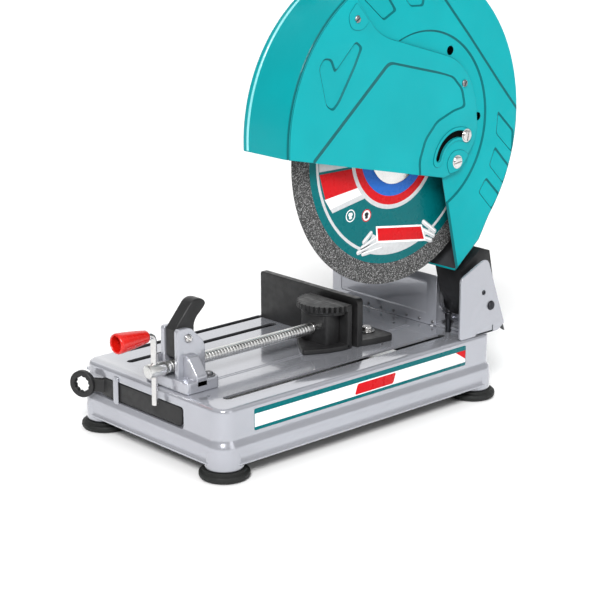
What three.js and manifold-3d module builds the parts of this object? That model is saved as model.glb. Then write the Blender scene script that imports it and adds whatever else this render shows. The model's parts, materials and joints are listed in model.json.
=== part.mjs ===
// Abrasive chop saw for a 355 mm wheel. Millimetres, +Z up.
// +X is the side the wheel is on, -Y is the operator's side (the crank), +Y is the hinge side.
// The origin is on the floor under the middle of the whole saw's box.
import * as THREE from "three";
import { mergeVertices } from "three/addons/utils/BufferGeometryUtils.js";
import Module from "manifold-3d";

const wasm = await Module();
wasm.setup();

// ---------------------------------------------------------------- driving dimensions

const GAP = 0.3; // between neighbouring pieces
const TOP_Z = 93; // the table the work lies on
const ON_TABLE = TOP_Z + GAP;
const SHEET = 3; // pressed steel of the base
const LOWER = { x: 147.5, y: 250.5, r: 26, z0: 20, z1: 48 }; // half sizes of the flared skirt
const UPPER = { x: 141.5, y: 244.5, r: 20, z1: TOP_Z }; // half sizes of the upper wall
const POST = { x: 121.5, y: 224.5, r: 26 }; // corner posts, over the feet
const FOOT = { r: 32, z: 13 };
const FRAME_SHIFT_Y = 10; // from the middle of the base to the middle of the whole saw

const WHEEL = { y: 78.7, z: 365.5, r: 177.5, bore: 12.7, x0: 105, x1: 108 };
const KERF = { x0: 100, x1: 112, y0: -211, y1: 181 };
const HINGE = { y: 237, z: 132, r: 6 }; // the head turns about this shaft
const MOTOR = { y: 122.7, z: 400.6, r: 50 };
const GUARD = { y: 83, z: 392, r: 210, x0: 46, x1: 130, sheet: 2.5 };
const COVER = { x0: 130.4, x1: 132.9, r: 209 };
const COVER_PIVOT = { y: 170.4, z: 340.1, r: 4 };
const COVER_SLOT = { r: 37, screwAt: 63.4, endAt: 166 }; // degrees round the cover's pivot
const SCREW = { x: 25, z: 120, r: 7.8 }; // vice screw, along Y
const FENCE_PIVOT = { x: 42, y: 97.6, r: 4 };
const FENCE_CLAMP = { x: -92, y: 74, r: 4 };
const LEVER_PIN = { y: -214, z: 156.5, r: 5 };
const HANDLE_X = -15; // the D-handle's split plane
const TOOTH = { module: 2.5, ring: 36, pinion: 9, x0: 16, x1: 34 };

// ---------------------------------------------------------------- materials

const finish = (color, roughness, metalness) =>
  new THREE.MeshStandardMaterial({ color, roughness, metalness });

const enamel = finish(0xc9cbd6, 0.25, 0.3);
const teal = finish(0x1fb8be, 0.3, 0.1);
const casting = finish(0x3a3a3a, 0.55, 0.4);
const steel = finish(0xb8b9bc, 0.3, 1);
const darkSteel = finish(0x55575a, 0.45, 0.9);
const rubber = finish(0x2a2c2a, 0.85, 0);
const redPlastic = finish(0xe8201c, 0.35, 0);
const blackPlastic = finish(0x202224, 0.55, 0);
const abrasive = finish(0x4a4c4e, 0.95, 0);
const copper = finish(0xb06a3a, 0.5, 0.8);

// ---------------------------------------------------------------- solids

const radians = (degrees) => (degrees * Math.PI) / 180;

// A closed geometry as a solid, turned the right way out.
function solid(geometry) {
  const plain = geometry.index ? geometry.toNonIndexed() : geometry.clone();
  plain.deleteAttribute("normal");
  plain.deleteAttribute("uv");
  const merged = mergeVertices(plain, 1e-3);
  const corners = merged.index.array;
  const p = merged.attributes.position.array;
  const faces = [];
  let volume = 0;
  for (let i = 0; i < corners.length; i += 3) {
    const [a, b, c] = [corners[i], corners[i + 1], corners[i + 2]];
    if (a === b || b === c || a === c) continue;
    faces.push(a, b, c);
    const [u, v, w] = [a, b, c].map((k) => new THREE.Vector3(p[3 * k], p[3 * k + 1], p[3 * k + 2]));
    volume += u.dot(v.cross(w));
  }
  if (volume < 0) faces.reverse();
  return new wasm.Manifold(
    new wasm.Mesh({ numProp: 3, vertProperties: p, triVerts: Uint32Array.from(faces) }),
  );
}

function geometryOf(body) {
  const made = body.getMesh();
  const geometry = new THREE.BufferGeometry();
  geometry.setAttribute("position", new THREE.BufferAttribute(made.vertProperties, 3));
  geometry.setIndex(new THREE.BufferAttribute(made.triVerts, 1));
  const flat = geometry.toNonIndexed();
  flat.computeVertexNormals();
  return flat;
}

const saw = new THREE.Group();
saw.position.y = FRAME_SHIFT_Y;

function place(name, body, material) {
  const mesh = new THREE.Mesh(geometryOf(body), material);
  mesh.name = name;
  saw.add(mesh);
}

const joined = (...bodies) => bodies.reduce((sum, body) => sum.add(body));
const cut = (body, ...tools) => tools.reduce((rest, tool) => rest.subtract(tool), body);

function box(x0, x1, y0, y1, z0, z1) {
  const geometry = new THREE.BoxGeometry(x1 - x0, y1 - y0, z1 - z0);
  return solid(geometry.translate((x0 + x1) / 2, (y0 + y1) / 2, (z0 + z1) / 2));
}

const BASIS = {
  // the outline's two axes and the direction it is extruded in
  x: new THREE.Matrix4().makeBasis(vec(0, 1, 0), vec(0, 0, 1), vec(1, 0, 0)),
  y: new THREE.Matrix4().makeBasis(vec(1, 0, 0), vec(0, 0, 1), vec(0, -1, 0)),
  z: new THREE.Matrix4(),
};

function vec(x, y, z) {
  return new THREE.Vector3(x, y, z);
}

// A plate across an axis from one place to another: outlines are [y, z] across X, [x, z] across Y
// and [x, y] across Z.
function plate(axis, outline, from, to, segments = 4) {
  const shape = outline instanceof THREE.Shape ? outline : polygon(outline);
  const depth = to - from;
  const geometry = new THREE.ExtrudeGeometry(shape, {
    depth,
    bevelEnabled: false,
    curveSegments: segments,
  });
  geometry.applyMatrix4(BASIS[axis]);
  const start = { x: vec(from, 0, 0), y: vec(0, to, 0), z: vec(0, 0, from) }[axis];
  return solid(geometry.translate(start.x, start.y, start.z));
}

function polygon(points) {
  return new THREE.Shape(points.map(([u, v]) => new THREE.Vector2(u, v)));
}

// A polygon with each corner rounded by its own or a common radius.
function rounded(points, radius) {
  const shape = new THREE.Shape();
  points.forEach(([u, v, own], i) => {
    const here = new THREE.Vector2(u, v);
    const before = new THREE.Vector2(...points.at(i - 1));
    const after = new THREE.Vector2(...points[(i + 1) % points.length]);
    const r = own ?? radius;
    const enter = here.clone().add(before.sub(here).setLength(r));
    const leave = here.clone().add(after.sub(here).setLength(r));
    if (i === 0) shape.moveTo(enter.x, enter.y);
    else shape.lineTo(enter.x, enter.y);
    shape.quadraticCurveTo(u, v, leave.x, leave.y);
  });
  return shape;
}

const frameOf = (hx, hy, r) => {
  const shape = new THREE.Shape();
  shape.absarc(hx - r, hy - r, r, 0, Math.PI / 2);
  shape.absarc(r - hx, hy - r, r, Math.PI / 2, Math.PI);
  shape.absarc(r - hx, r - hy, r, Math.PI, 1.5 * Math.PI);
  shape.absarc(hx - r, r - hy, r, 1.5 * Math.PI, 2 * Math.PI);
  return shape;
};

// A slot with round ends along the second axis of its outline.
const slotShape = (u, v0, v1, r) => {
  const shape = new THREE.Shape();
  shape.absarc(u, v1 - r, r, 0, Math.PI);
  shape.absarc(u, v0 + r, r, Math.PI, 2 * Math.PI);
  return shape;
};

// A slot of even width round a centre, with round ends; the angles are in degrees.
function arcSlot(u, v, radius, half, from, to) {
  const [a, b] = [radians(from), radians(to)];
  const shape = new THREE.Shape();
  shape.absarc(u, v, radius + half, a, b);
  shape.absarc(u + radius * Math.cos(b), v + radius * Math.sin(b), half, b, b + Math.PI);
  shape.absarc(u, v, radius - half, b, a, true);
  shape.absarc(u + radius * Math.cos(a), v + radius * Math.sin(a), half, a + Math.PI, a + 2 * Math.PI);
  return shape;
}

// The outline round two circles and between them.
function hullShape(u0, v0, r0, u1, v1, r1) {
  const along = Math.atan2(v1 - v0, u1 - u0);
  const open = Math.acos((r0 - r1) / Math.hypot(u1 - u0, v1 - v0));
  const shape = new THREE.Shape();
  shape.absarc(u0, v0, r0, along + open, along + 2 * Math.PI - open);
  shape.absarc(u1, v1, r1, along - open, along + open);
  return shape;
}

// Round solids. A rod is a cylinder along an axis between two places; u and v are the other two
// coordinates in the order x, y, z.
function rod(axis, u, v, radius, from, to, segments = 20) {
  const geometry = new THREE.CylinderGeometry(radius, radius, to - from, segments);
  return solid(standing(geometry, axis, u, v, (from + to) / 2));
}

function standing(geometry, axis, u, v, along) {
  if (axis === "x") return geometry.rotateZ(-Math.PI / 2).translate(along, u, v);
  if (axis === "y") return geometry.translate(u, along, v);
  return geometry.rotateX(Math.PI / 2).translate(u, v, along);
}

// A turned piece: profile points are [radius, place along the axis].
function turned(axis, u, v, profile, segments = 20) {
  const points = profile.map(([radius, along]) => new THREE.Vector2(radius, along));
  return solid(standing(new THREE.LatheGeometry(points, segments), axis, u, v, 0));
}

const ring = (axis, u, v, outer, inner, from, to, segments = 20) =>
  cut(
    rod(axis, u, v, outer, from, to, segments),
    rod(axis, u, v, inner, from - 1, to + 1, segments),
  );

const HEX = 6;
const onWheel = (radius, from, to, segments) =>
  rod("x", WHEEL.y, WHEEL.z, radius, from, to, segments);
const onMotor = (radius, from, to, segments) =>
  rod("x", MOTOR.y, MOTOR.z, radius, from, to, segments);

// ---------------------------------------------------------------- base

function baseShell() {
  const { z0, z1 } = LOWER;
  const corners = [-1, 1].flatMap((sx) => [-1, 1].map((sy) => [sx * POST.x, sy * POST.y]));
  const outer = joined(
    plate("z", frameOf(LOWER.x, LOWER.y, LOWER.r), z0, z1, 3),
    plate("z", frameOf(UPPER.x, UPPER.y, UPPER.r), z1 - 1, UPPER.z1, 3),
  );
  const hollow = joined(
    plate("z", frameOf(LOWER.x - SHEET, LOWER.y - SHEET, LOWER.r - SHEET), z0 - 1, z1 - SHEET, 3),
    plate("z", frameOf(UPPER.x - SHEET, UPPER.y - SHEET, UPPER.r - SHEET), z0, TOP_Z - SHEET, 3),
  );
  // each post is a cup that stands on a foot
  const cup = ([x, y]) =>
    cut(
      rod("z", x, y, POST.r, FOOT.z + GAP, LOWER.z0 + 10, 16),
      rod("z", x, y, POST.r - SHEET, FOOT.z + 5, LOWER.z0 + 11, 16),
    );
  const pocketBack = box(-136, 72, -243, -234, 48, 83);
  const pocket = box(-146, 68, -247, -237.5, 51, 79.5);
  const through = [TOP_Z - 8, TOP_Z + 2];
  const kerf = box(KERF.x0, KERF.x1, KERF.y0, KERF.y1, ...through);
  const slots = [
    slotShape(-131, -187, 60, 5.5),
    slotShape(-90, -210, 48, 5.5),
    arcSlot(FENCE_PIVOT.x, FENCE_PIVOT.y, CLAMP_REACH, 4.8, 143, 193.5),
  ].map((shape) => plate("z", shape, ...through, 5));
  const holes = TABLE_HOLES.map(([x, y, r]) => rod("z", x, y, r + GAP, ...through, 16));
  const shell = joined(cut(outer, hollow), ...corners.map(cup), pocketBack);
  return cut(shell, pocket, kerf, ...slots, ...holes);
}

const CLAMP_REACH = Math.hypot(FENCE_PIVOT.x - FENCE_CLAMP.x, FENCE_PIVOT.y - FENCE_CLAMP.y);
const BRACKET_BOLTS = { left: [76, 222], right: [124, 222] };
const VICE_BOLTS = { left: [-10, -211], right: [57, -194.5] };
const DEPTH_STOP = { x: 100, y: 197, r: 5, top: 120.5 };
const BOLT_R = 3;
const TABLE_HOLES = [
  [FENCE_PIVOT.x, FENCE_PIVOT.y, FENCE_PIVOT.r],
  [DEPTH_STOP.x, DEPTH_STOP.y, BOLT_R],
  ...[...Object.values(BRACKET_BOLTS), ...Object.values(VICE_BOLTS)].map(([x, y]) => [x, y, BOLT_R]),
];

place("base_shell", baseShell(), enamel);

const footProfile = [
  [0, 0],
  [FOOT.r - 3, 0],
  [FOOT.r, 3],
  [FOOT.r, FOOT.z - 3],
  [FOOT.r - 2, FOOT.z],
  [0, FOOT.z],
];
for (const [end, sy] of Object.entries({ front: -1, rear: 1 }))
  for (const [side, sx] of Object.entries({ right: 1, left: -1 }))
    place(`foot_${end}_${side}`, turned("z", sx * POST.x, sy * POST.y, footProfile), rubber);

// A bolt that stands on its seat: a hexagon head, and a shank that goes down through the seat.
const bolt = (x, y, seat, head, shank, headHeight, below) =>
  joined(
    rod("z", x, y, head, seat, seat + headHeight, HEX),
    rod("z", x, y, shank, seat - below, seat + 1, 16),
  );

// ---------------------------------------------------------------- spark plate

const SPARK = { x0: -136, x1: 72, y: 202, sheet: 1.5, z1: 166 };

place(
  "spark_plate",
  joined(
    box(SPARK.x0, SPARK.x1, SPARK.y, SPARK.y + SPARK.sheet, ON_TABLE, SPARK.z1),
    box(SPARK.x0, 58, SPARK.y, SPARK.y + 16, ON_TABLE, ON_TABLE + SPARK.sheet),
  ),
  enamel,
);

// ---------------------------------------------------------------- pivot bracket and hinge

const CHEEK = { sheet: 3.5, near: 138, far: 62 };
const STOP_SCREW = { y: 222, z: 153, r: 3 };

function pivotBracket() {
  const near = rounded(
    [[176, ON_TABLE, 1], [176, 180, 6], [228, 202, 10], [272, 88, 3], [262, ON_TABLE, 1]],
    4,
  );
  const far = rounded(
    [[207, ON_TABLE, 1], [207, 158, 4], [228, 172, 5], [244, 172, 6], [272, 88, 3], [262, ON_TABLE, 1]],
    4,
  );
  const floor = [CHEEK.far, CHEEK.near + CHEEK.sheet, 207, 243.5, ON_TABLE, ON_TABLE + CHEEK.sheet];
  const web = [CHEEK.far, CHEEK.near + CHEEK.sheet, 240, 243.5, ON_TABLE, 104];
  const sheet = joined(
    plate("x", near, CHEEK.near, CHEEK.near + CHEEK.sheet),
    plate("x", far, CHEEK.far, CHEEK.far + CHEEK.sheet),
    box(...floor),
    box(...web),
  );
  const bolts = Object.values(BRACKET_BOLTS).map(([x, y]) => rod("z", x, y, BOLT_R + GAP, 90, 100, 16));
  return cut(
    sheet,
    rod("x", HINGE.y, HINGE.z, HINGE.r + GAP, 55, 150),
    rod("x", STOP_SCREW.y, STOP_SCREW.z, STOP_SCREW.r + GAP, 130, 150, 16),
    ...bolts,
  );
}

place("pivot_bracket", pivotBracket(), enamel);
place("pivot_shaft", rod("x", HINGE.y, HINGE.z, HINGE.r, 58, 143.5), steel);
place("stop_screw", rod("x", STOP_SCREW.y, STOP_SCREW.z, STOP_SCREW.r, 131, 142.5, 16), darkSteel);
for (const [side, [x, y]] of Object.entries(BRACKET_BOLTS))
  place(
    `bracket_bolt_${side}`,
    bolt(x, y, ON_TABLE + CHEEK.sheet + GAP, 6, BOLT_R, 4, 12),
    darkSteel,
  );
place(
  "depth_stop_bolt",
  joined(
    rod("z", DEPTH_STOP.x, DEPTH_STOP.y, DEPTH_STOP.r, ON_TABLE, DEPTH_STOP.top, HEX),
    rod("z", DEPTH_STOP.x, DEPTH_STOP.y, BOLT_R, 84, 94, 16),
  ),
  steel,
);

// The return spring's coil, wound round the hinge barrel.
function torsionSpring() {
  const { mean, wire, from, to, turns } = { mean: 25, wire: 1.6, from: 69, to: 77, turns: 2.2 };
  class Coil extends THREE.Curve {
    getPoint(t, target = new THREE.Vector3()) {
      const angle = 2 * Math.PI * turns * t;
      return target.set(
        from + (to - from) * t,
        HINGE.y + mean * Math.cos(angle),
        HINGE.z + mean * Math.sin(angle),
      );
    }
  }
  const section = new THREE.Shape();
  section.absarc(0, 0, wire, 0, 2 * Math.PI);
  const geometry = new THREE.ExtrudeGeometry(section, {
    extrudePath: new Coil(),
    steps: 44,
    curveSegments: 3,
    bevelEnabled: false,
  });
  return solid(geometry);
}

place("torsion_spring", torsionSpring(), steel);

// ---------------------------------------------------------------- vice

const CHEEKS = [[8, 15], [35, 42]];
const SLAB = { x0: -18, x1: 68, y0: -238, y1: -185, top: 108 };

function viceBracket() {
  const cheek = rounded(
    [[-231, 100, 1], [-231, 170, 4], [-210, 170, 4], [-187, 146, 6], [-187, 100, 1]],
    4,
  );
  const leftRib = [[9, 100], [-14, 100], [-14, 110], [9, 134]];
  const ribs = [[-236, -230], [-193, -187]].map(([y0, y1]) => plate("y", leftRib, y0, y1));
  const gusset = plate("y", [[41, 136], [50, 136], [68, 114], [68, 100], [41, 100]], -222, -205);
  const body = joined(
    plate("z", rounded([[SLAB.x0, SLAB.y0], [SLAB.x1, SLAB.y0], [SLAB.x1, SLAB.y1], [SLAB.x0, SLAB.y1]], 7),
      ON_TABLE, SLAB.top),
    ...CHEEKS.map(([x0, x1]) => plate("x", cheek, x0, x1)),
    ...ribs,
    gusset,
  );
  const bolts = Object.values(VICE_BOLTS).map(([x, y]) => rod("z", x, y, BOLT_R + GAP, 90, 112, 16));
  return cut(body, rod("x", LEVER_PIN.y, LEVER_PIN.z, LEVER_PIN.r + GAP, 0, 50), ...bolts);
}

place("vice_bracket", viceBracket(), enamel);
for (const [side, [x, y]] of Object.entries(VICE_BOLTS))
  place(`vice_bolt_${side}`, bolt(x, y, SLAB.top + GAP, 6, BOLT_R, 4.5, 24), darkSteel);
place("lever_pin", rod("x", LEVER_PIN.y, LEVER_PIN.z, LEVER_PIN.r, 5, 45), steel);

function viceLever() {
  const { y, z } = LEVER_PIN;
  const swing = 27.8; // clears the screw below it
  const foot = (at) => z - Math.sqrt(swing ** 2 - (at - y) ** 2);
  const [front, rear] = [-229, -198];
  const shape = new THREE.Shape();
  shape.moveTo(front, 168);
  shape.lineTo(-203, 198);
  shape.quadraticCurveTo(-199, 202, -192, 202);
  shape.quadraticCurveTo(-180, 201, -179, 194);
  shape.quadraticCurveTo(-180, 190, -190, 182);
  shape.quadraticCurveTo(-197, 176, rear, 168);
  shape.lineTo(rear, foot(rear));
  shape.absarc(
    y, z, swing,
    Math.atan2(foot(rear) - z, rear - y),
    Math.atan2(foot(front) - z, front - y),
    true,
  );
  return cut(
    plate("x", shape, 15.4, 34.6, 8),
    rod("x", y, z, LEVER_PIN.r + GAP, 0, 50),
  );
}

place("vice_lever", viceLever(), casting);

const CRANK = { y: -255, r: 4, z0: 75, z1: 166, gripTo: -313 };
const JAW = { wall: 12, back: 38, face: 46, neck: 3.5 };

function viceScrew() {
  const { x, z, r } = SCREW;
  return cut(
    turned("y", x, z, [
      [0, -266], [8, -266], [9, -265], [9, -241], [8, -240], [r, -240], [r, 8],
      [JAW.neck, 8], [JAW.neck, 22], [6, 22], [6, 25], [0, 25],
    ]),
    rod("z", x, CRANK.y, CRANK.r + GAP, z - 20, z + 20, 20),
  );
}

// The crank: a straight rod with a bend at its top that runs on as the grip's axle.
function crankRod() {
  const { x } = SCREW;
  const bend = 9;
  const path = new THREE.CurvePath();
  const [top, out] = [CRANK.z1, CRANK.y - bend];
  path.add(new THREE.LineCurve3(vec(x, CRANK.y, CRANK.z0), vec(x, CRANK.y, top - bend)));
  path.add(new THREE.QuadraticBezierCurve3(vec(x, CRANK.y, top - bend), vec(x, CRANK.y, top), vec(x, out, top)));
  path.add(new THREE.LineCurve3(vec(x, out, top), vec(x, CRANK.gripTo + 20, top)));
  const section = new THREE.Shape();
  section.absarc(0, 0, CRANK.r, 0, 2 * Math.PI);
  return solid(
    new THREE.ExtrudeGeometry(section, { extrudePath: path, steps: 24, curveSegments: 5, bevelEnabled: false }),
  );
}

// The grip: a tapered sleeve, hollow at its outer end.
function crankGrip() {
  const bore = CRANK.r + 0.6;
  return turned("y", SCREW.x, CRANK.z1, [
    [bore, -265.5], [8, -265.5], [10, -275], [12, -295], [13, -308], [12, CRANK.gripTo],
    [10.5, CRANK.gripTo], [10, -311], [9.5, -297], [bore, -296], [bore, -265.5],
  ]);
}

place("vice_screw", viceScrew(), steel);
place("crank_rod", crankRod(), steel);
place("crank_grip", crankGrip(), redPlastic);

function viceJaw() {
  const { x, z } = SCREW;
  const top = new THREE.Shape();
  const [valley, tip, teeth, centre] = [39, 42, 18, 40];
  const at = (r, t) => [x + r * Math.cos(-Math.PI * t), centre + r * Math.sin(-Math.PI * t)];
  top.moveTo(...at(valley, 0));
  for (let i = 0; i < teeth; i += 1) {
    top.lineTo(...at(tip, (i + 0.5) / teeth));
    top.lineTo(...at(valley, (i + 1) / teeth));
  }
  const foot = rounded([[-16, 45], [-16, 20], [8, 2], [19, -7], [45, -24], [60, 6], [66, 30], [66, 45]], 4);
  const body = joined(
    box(-16, 66, JAW.back, JAW.face, 94, 154),
    box(-1, 51, JAW.wall, JAW.back + 1, 94, 148),
    plate("z", foot, 94, 100, 4),
    plate("z", top, 146, 154, 4),
  );
  return cut(
    body,
    rod("y", x, z, JAW.neck + 0.8, 5, 24, 20),
    box(x - 7, x + 7, 21.5, 26, 90, z + 7), // the neck's end drops in from below
    box(3, 17, 16, 34, 90, 143), // the casting is hollow underneath
    box(33, 47, 16, 34, 90, 143),
  );
}

place("jaw", viceJaw(), casting);
place("jaw_collar", ring("y", SCREW.x, SCREW.z, 7.5, JAW.neck + 0.5, 8.3, 11.7, 24), steel);

// ---------------------------------------------------------------- fence

function fence() {
  const face = plate("y", rounded([[-128, ON_TABLE, 1], [68, ON_TABLE, 1], [68, 160.5, 6], [-128, 160.5, 3]], 3), 54, 64);
  const flange = rounded(
    [[-20, 60], [68, 60], [73, 80], [77, 111], [70, 117], [24, 117], [-20, 80]],
    3,
  );
  const foot = rounded([[-112, 60], [-72, 60], [-72, 86], [-112, 86]], 6);
  const rib = [[63, 100], [92, 100], [63, 150]];
  const pieces = joined(
    face,
    plate("z", flange, ON_TABLE, 101.5, 4),
    plate("z", foot, ON_TABLE, 101.5, 6),
    plate("x", rib, 8, 13),
    ...[-70, -116].map((x) => plate("x", [[63, 94], [84, 94], [84, 100], [63, 150]], x, x + 4)),
  );
  return cut(
    pieces,
    rod("z", FENCE_PIVOT.x, FENCE_PIVOT.y, FENCE_PIVOT.r + GAP, 90, 105),
    rod("z", FENCE_CLAMP.x, FENCE_CLAMP.y, FENCE_CLAMP.r + GAP, 90, 105),
  );
}

place("fence", fence(), casting);
place("fence_pivot_bolt", bolt(FENCE_PIVOT.x, FENCE_PIVOT.y, 101.8, 8, FENCE_PIVOT.r, 7, 16), darkSteel);
place("fence_clamp_bolt", bolt(FENCE_CLAMP.x, FENCE_CLAMP.y, 101.8, 8, FENCE_CLAMP.r, 7, 16), darkSteel);

// ---------------------------------------------------------------- wrench and its clip

function wrench() {
  const [cx, cy, cz] = [-124, -258, 66];
  const tilt = radians(22);
  const star = new THREE.Shape();
  for (let i = 0; i < 24; i += 1) {
    const r = i % 2 ? 10 : 11.4;
    const a = (Math.PI * i) / 12;
    if (i) star.lineTo(r * Math.cos(a), r * Math.sin(a));
    else star.moveTo(r, 0);
  }
  const aim = (geometry) => solid(geometry.applyMatrix4(BASIS.y).rotateZ(tilt).translate(cx, cy, cz));
  const disc = new THREE.Shape();
  disc.absarc(0, 0, 18, 0, 2 * Math.PI);
  const slab = (shape, depth) =>
    new THREE.ExtrudeGeometry(shape, { depth, bevelEnabled: false, curveSegments: 10 }).translate(0, 0, -depth / 2);
  const bar = plate("y", rounded([[-100, 53], [64, 53, 8], [64, 78, 8], [-100, 78]], 2), -244, -239);
  const link = plate("z", [[-97, -239], [-97, -244], [-113, -255], [-116, -249], [-103, -239]].reverse(), 56, 76);
  return cut(joined(aim(slab(disc, 8)), bar, link), aim(slab(star, 20)));
}

place("wrench", wrench(), casting);
place("wrench_clip", box(-74, -64, -246.5, -244.8, 49, 86), casting);

// ---------------------------------------------------------------- head casting and hinge barrel

function headArm() {
  const [x0, x1] = [12, 45.7];
  const shell = joined(
    plate("x", hullShape(WHEEL.y, WHEEL.z, 55, MOTOR.y, MOTOR.z, 30), x0, x1, 12),
    plate("x", hullShape(105, 375, 42, 228, 202, 18), x0, x1, 7),
    onWheel(24, 45, 88),
    plate("x", [[207, 190], [212, 200], [229, 212], [246, 206], [250, 188]], 20, 128),
    plate(
      "x",
      [[222, 112], [200, 150], [190, 186], [212, 200], [229, 212], [246, 206], [256, 160], [256, 122]],
      80, 128,
    ),
    rod("x", HINGE.y, HINGE.z, 21, 68, 136),
  );
  const ribbed = hullShape(118, 350, 24, 214, 220, 9); // the arm is open on its left between its walls
  return cut(
    shell,
    onWheel(50, x0 - 1, 38, 32),
    onMotor(17, x0 - 1, 38),
    onWheel(WHEEL.bore, 30, 90),
    onWheel(20.3, 73.7, 90),
    plate("x", ribbed, x0 - 1, 36, 8),
    rod("x", HINGE.y, HINGE.z, HINGE.r + GAP, 60, 140),
    rod("y", 26, WHEEL.z, 6.4, 15, 40, 20),
  );
}

place("head_arm", headArm(), casting);
place(
  "gear_case_cover",
  cut(
    plate("x", hullShape(WHEEL.y, WHEEL.z, 54, MOTOR.y, MOTOR.z, 29), 8, 11.7, 12),
    onMotor(8, 0, 20),
  ),
  casting,
);

// ---------------------------------------------------------------- spindle, wheel and flanges

// A spur gear about an axis along X: even teeth, with one tooth centred on the given angle.
function gear(y, z, teeth, centred, bore) {
  const pitch = (TOOTH.module * teeth) / 2;
  const [root, tip] = [pitch - 2.6, pitch + 2];
  const shape = new THREE.Shape();
  const at = (r, a, first) => {
    const [u, v] = [y + r * Math.cos(a), z + r * Math.sin(a)];
    if (first) shape.moveTo(u, v);
    else shape.lineTo(u, v);
  };
  for (let i = 0; i < teeth; i += 1) {
    const a = radians(centred) + (2 * Math.PI * i) / teeth;
    at(root, a - 2.2 / root, i === 0);
    at(tip, a - 0.9 / tip);
    at(tip, a + 0.9 / tip);
    at(root, a + 2.2 / root);
  }
  return cut(plate("x", shape, TOOTH.x0, TOOTH.x1), rod("x", y, z, bore, 0, 50, 24));
}

const meshAngle = (Math.atan2(MOTOR.z - WHEEL.z, MOTOR.y - WHEEL.y) * 180) / Math.PI;

place("spindle", cut(onWheel(12.4, 14, 107.9), onWheel(4.4, 88, 109, 16)), steel);
place("ring_gear", gear(WHEEL.y, WHEEL.z, TOOTH.ring, meshAngle + 180 / TOOTH.ring, WHEEL.bore), steel);
place("spindle_bearing", ring("x", WHEEL.y, WHEEL.z, 20, WHEEL.bore, 74, 86), steel);
const flange = (x0, x1, bore) =>
  cut(onWheel(45, x0, x1, 32), onWheel(bore, x0 - 1, x1 + 1, 24));
place("inner_flange", flange(92, WHEEL.x0 - GAP, WHEEL.bore), steel);
place("outer_flange", flange(WHEEL.x1 + GAP, 114, 4.4), steel);
place(
  "abrasive_disc",
  cut(onWheel(WHEEL.r, WHEEL.x0, WHEEL.x1, 80), onWheel(WHEEL.bore, 100, 112, 24)),
  abrasive,
);
place("arbor_bolt", joined(onWheel(9, 114.3, 122, HEX), onWheel(4, 91, 115, 16)), steel);

// ---------------------------------------------------------------- motor

function motorHousing() {
  const { y, z, r } = MOTOR;
  const shell = cut(onMotor(r, -128, 7.7, 32), onMotor(r - 4, -130, 2, 32), onMotor(13.3, -10, 10));
  const saddle = cut(box(-36, 6, 84, 126, z + 20, 450.7), onMotor(r - 4, -40, 10, 32));
  const screwBosses = [-1, 1].map((side) => rod("x", y + side * 40, z - 34, 5, -128, 7.7, 16));
  return joined(shell, saddle, ...screwBosses.map((boss) => cut(boss, onMotor(r - 4, -130, 10, 32))));
}

function motorEndCap() {
  const { y, z, r } = MOTOR;
  const cup = turned("x", y, z, [
    [0, -150], [r - 10, -150], [r - 2, -145], [r, -138], [r, -128.3], [r - 4, -128.3],
    [r - 4, -138], [r - 13, -146], [0, -146],
  ], 32);
  const boss = cut(onMotor(12, -147, -134), onMotor(6.3, -145.5, -130));
  const vent = (i) => {
    const a = (2 * Math.PI * i) / 8;
    return rod("x", y + 28 * Math.cos(a), z + 28 * Math.sin(a), 6, -155, -140, 8);
  };
  return cut(joined(cup, boss), onMotor(6.3, -145.5, -130), ...Array.from({ length: 8 }, (_, i) => vent(i)));
}

place("motor_housing", motorHousing(), teal);
place("motor_end_cap", motorEndCap(), blackPlastic);
place("field_core", ring("x", MOTOR.y, MOTOR.z, 45.4, 28, -98, -22, 32), copper);
place(
  "armature",
  joined(onMotor(6, -144, 35), onMotor(26, -95, -25), onMotor(14, -118, -100)),
  copper,
);
place("drive_pinion", gear(MOTOR.y, MOTOR.z, TOOTH.pinion, meshAngle + 180, 6.3), steel);
place("cooling_fan", ring("x", MOTOR.y, MOTOR.z, 42, 6.3, -20, -8, 32), blackPlastic);
place("motor_bearing", ring("x", MOTOR.y, MOTOR.z, 13, 6.3, -2, 7.4, 24), steel);
for (const [name, degrees] of Object.entries({ brush_cap_front: 200, brush_cap_rear: 20 })) {
  const a = radians(degrees);
  const cap = new THREE.CylinderGeometry(8, 9, 7, 24);
  cap.rotateX(a);
  const reach = MOTOR.r + GAP + 3.5;
  cap.translate(-109, MOTOR.y + reach * Math.cos(a), MOTOR.z + reach * Math.sin(a));
  place(name, solid(cap), blackPlastic);
}

// ---------------------------------------------------------------- wheel guard and side cover

const FRONT_EDGE = 182.7; // degrees round the guard's centre, where its lower edge starts
const REAR_EDGE = -40.2;
const LOWER_CORNER = [147, 321];
const TAIL = [179, 189];
const TAIL_REAR = [223.5, 224.4];

function guardOutline() {
  const shape = new THREE.Shape();
  shape.moveTo(...TAIL_REAR);
  shape.absarc(GUARD.y, GUARD.z, GUARD.r, radians(REAR_EDGE), radians(FRONT_EDGE));
  shape.lineTo(...LOWER_CORNER);
  shape.lineTo(...TAIL);
  return shape;
}

// What the rim stands round: open along the whole lower edge.
function guardInside() {
  const along = new THREE.Vector2(TAIL_REAR[0] - TAIL[0], TAIL_REAR[1] - TAIL[1]).normalize();
  const inward = [-along.y * GUARD.sheet, along.x * GUARD.sheet];
  const below = 30;
  const shape = new THREE.Shape();
  shape.moveTo(TAIL_REAR[0] + inward[0], TAIL_REAR[1] + inward[1]);
  shape.absarc(GUARD.y, GUARD.z, GUARD.r - GUARD.sheet, radians(REAR_EDGE), radians(FRONT_EDGE));
  shape.lineTo(GUARD.y - GUARD.r, GUARD.z - 60);
  shape.lineTo(LOWER_CORNER[0] - below, TAIL[1]);
  shape.lineTo(TAIL[0] + inward[0] - below * along.x, TAIL[1] + inward[1] - below * along.y);
  return shape;
}

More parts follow.
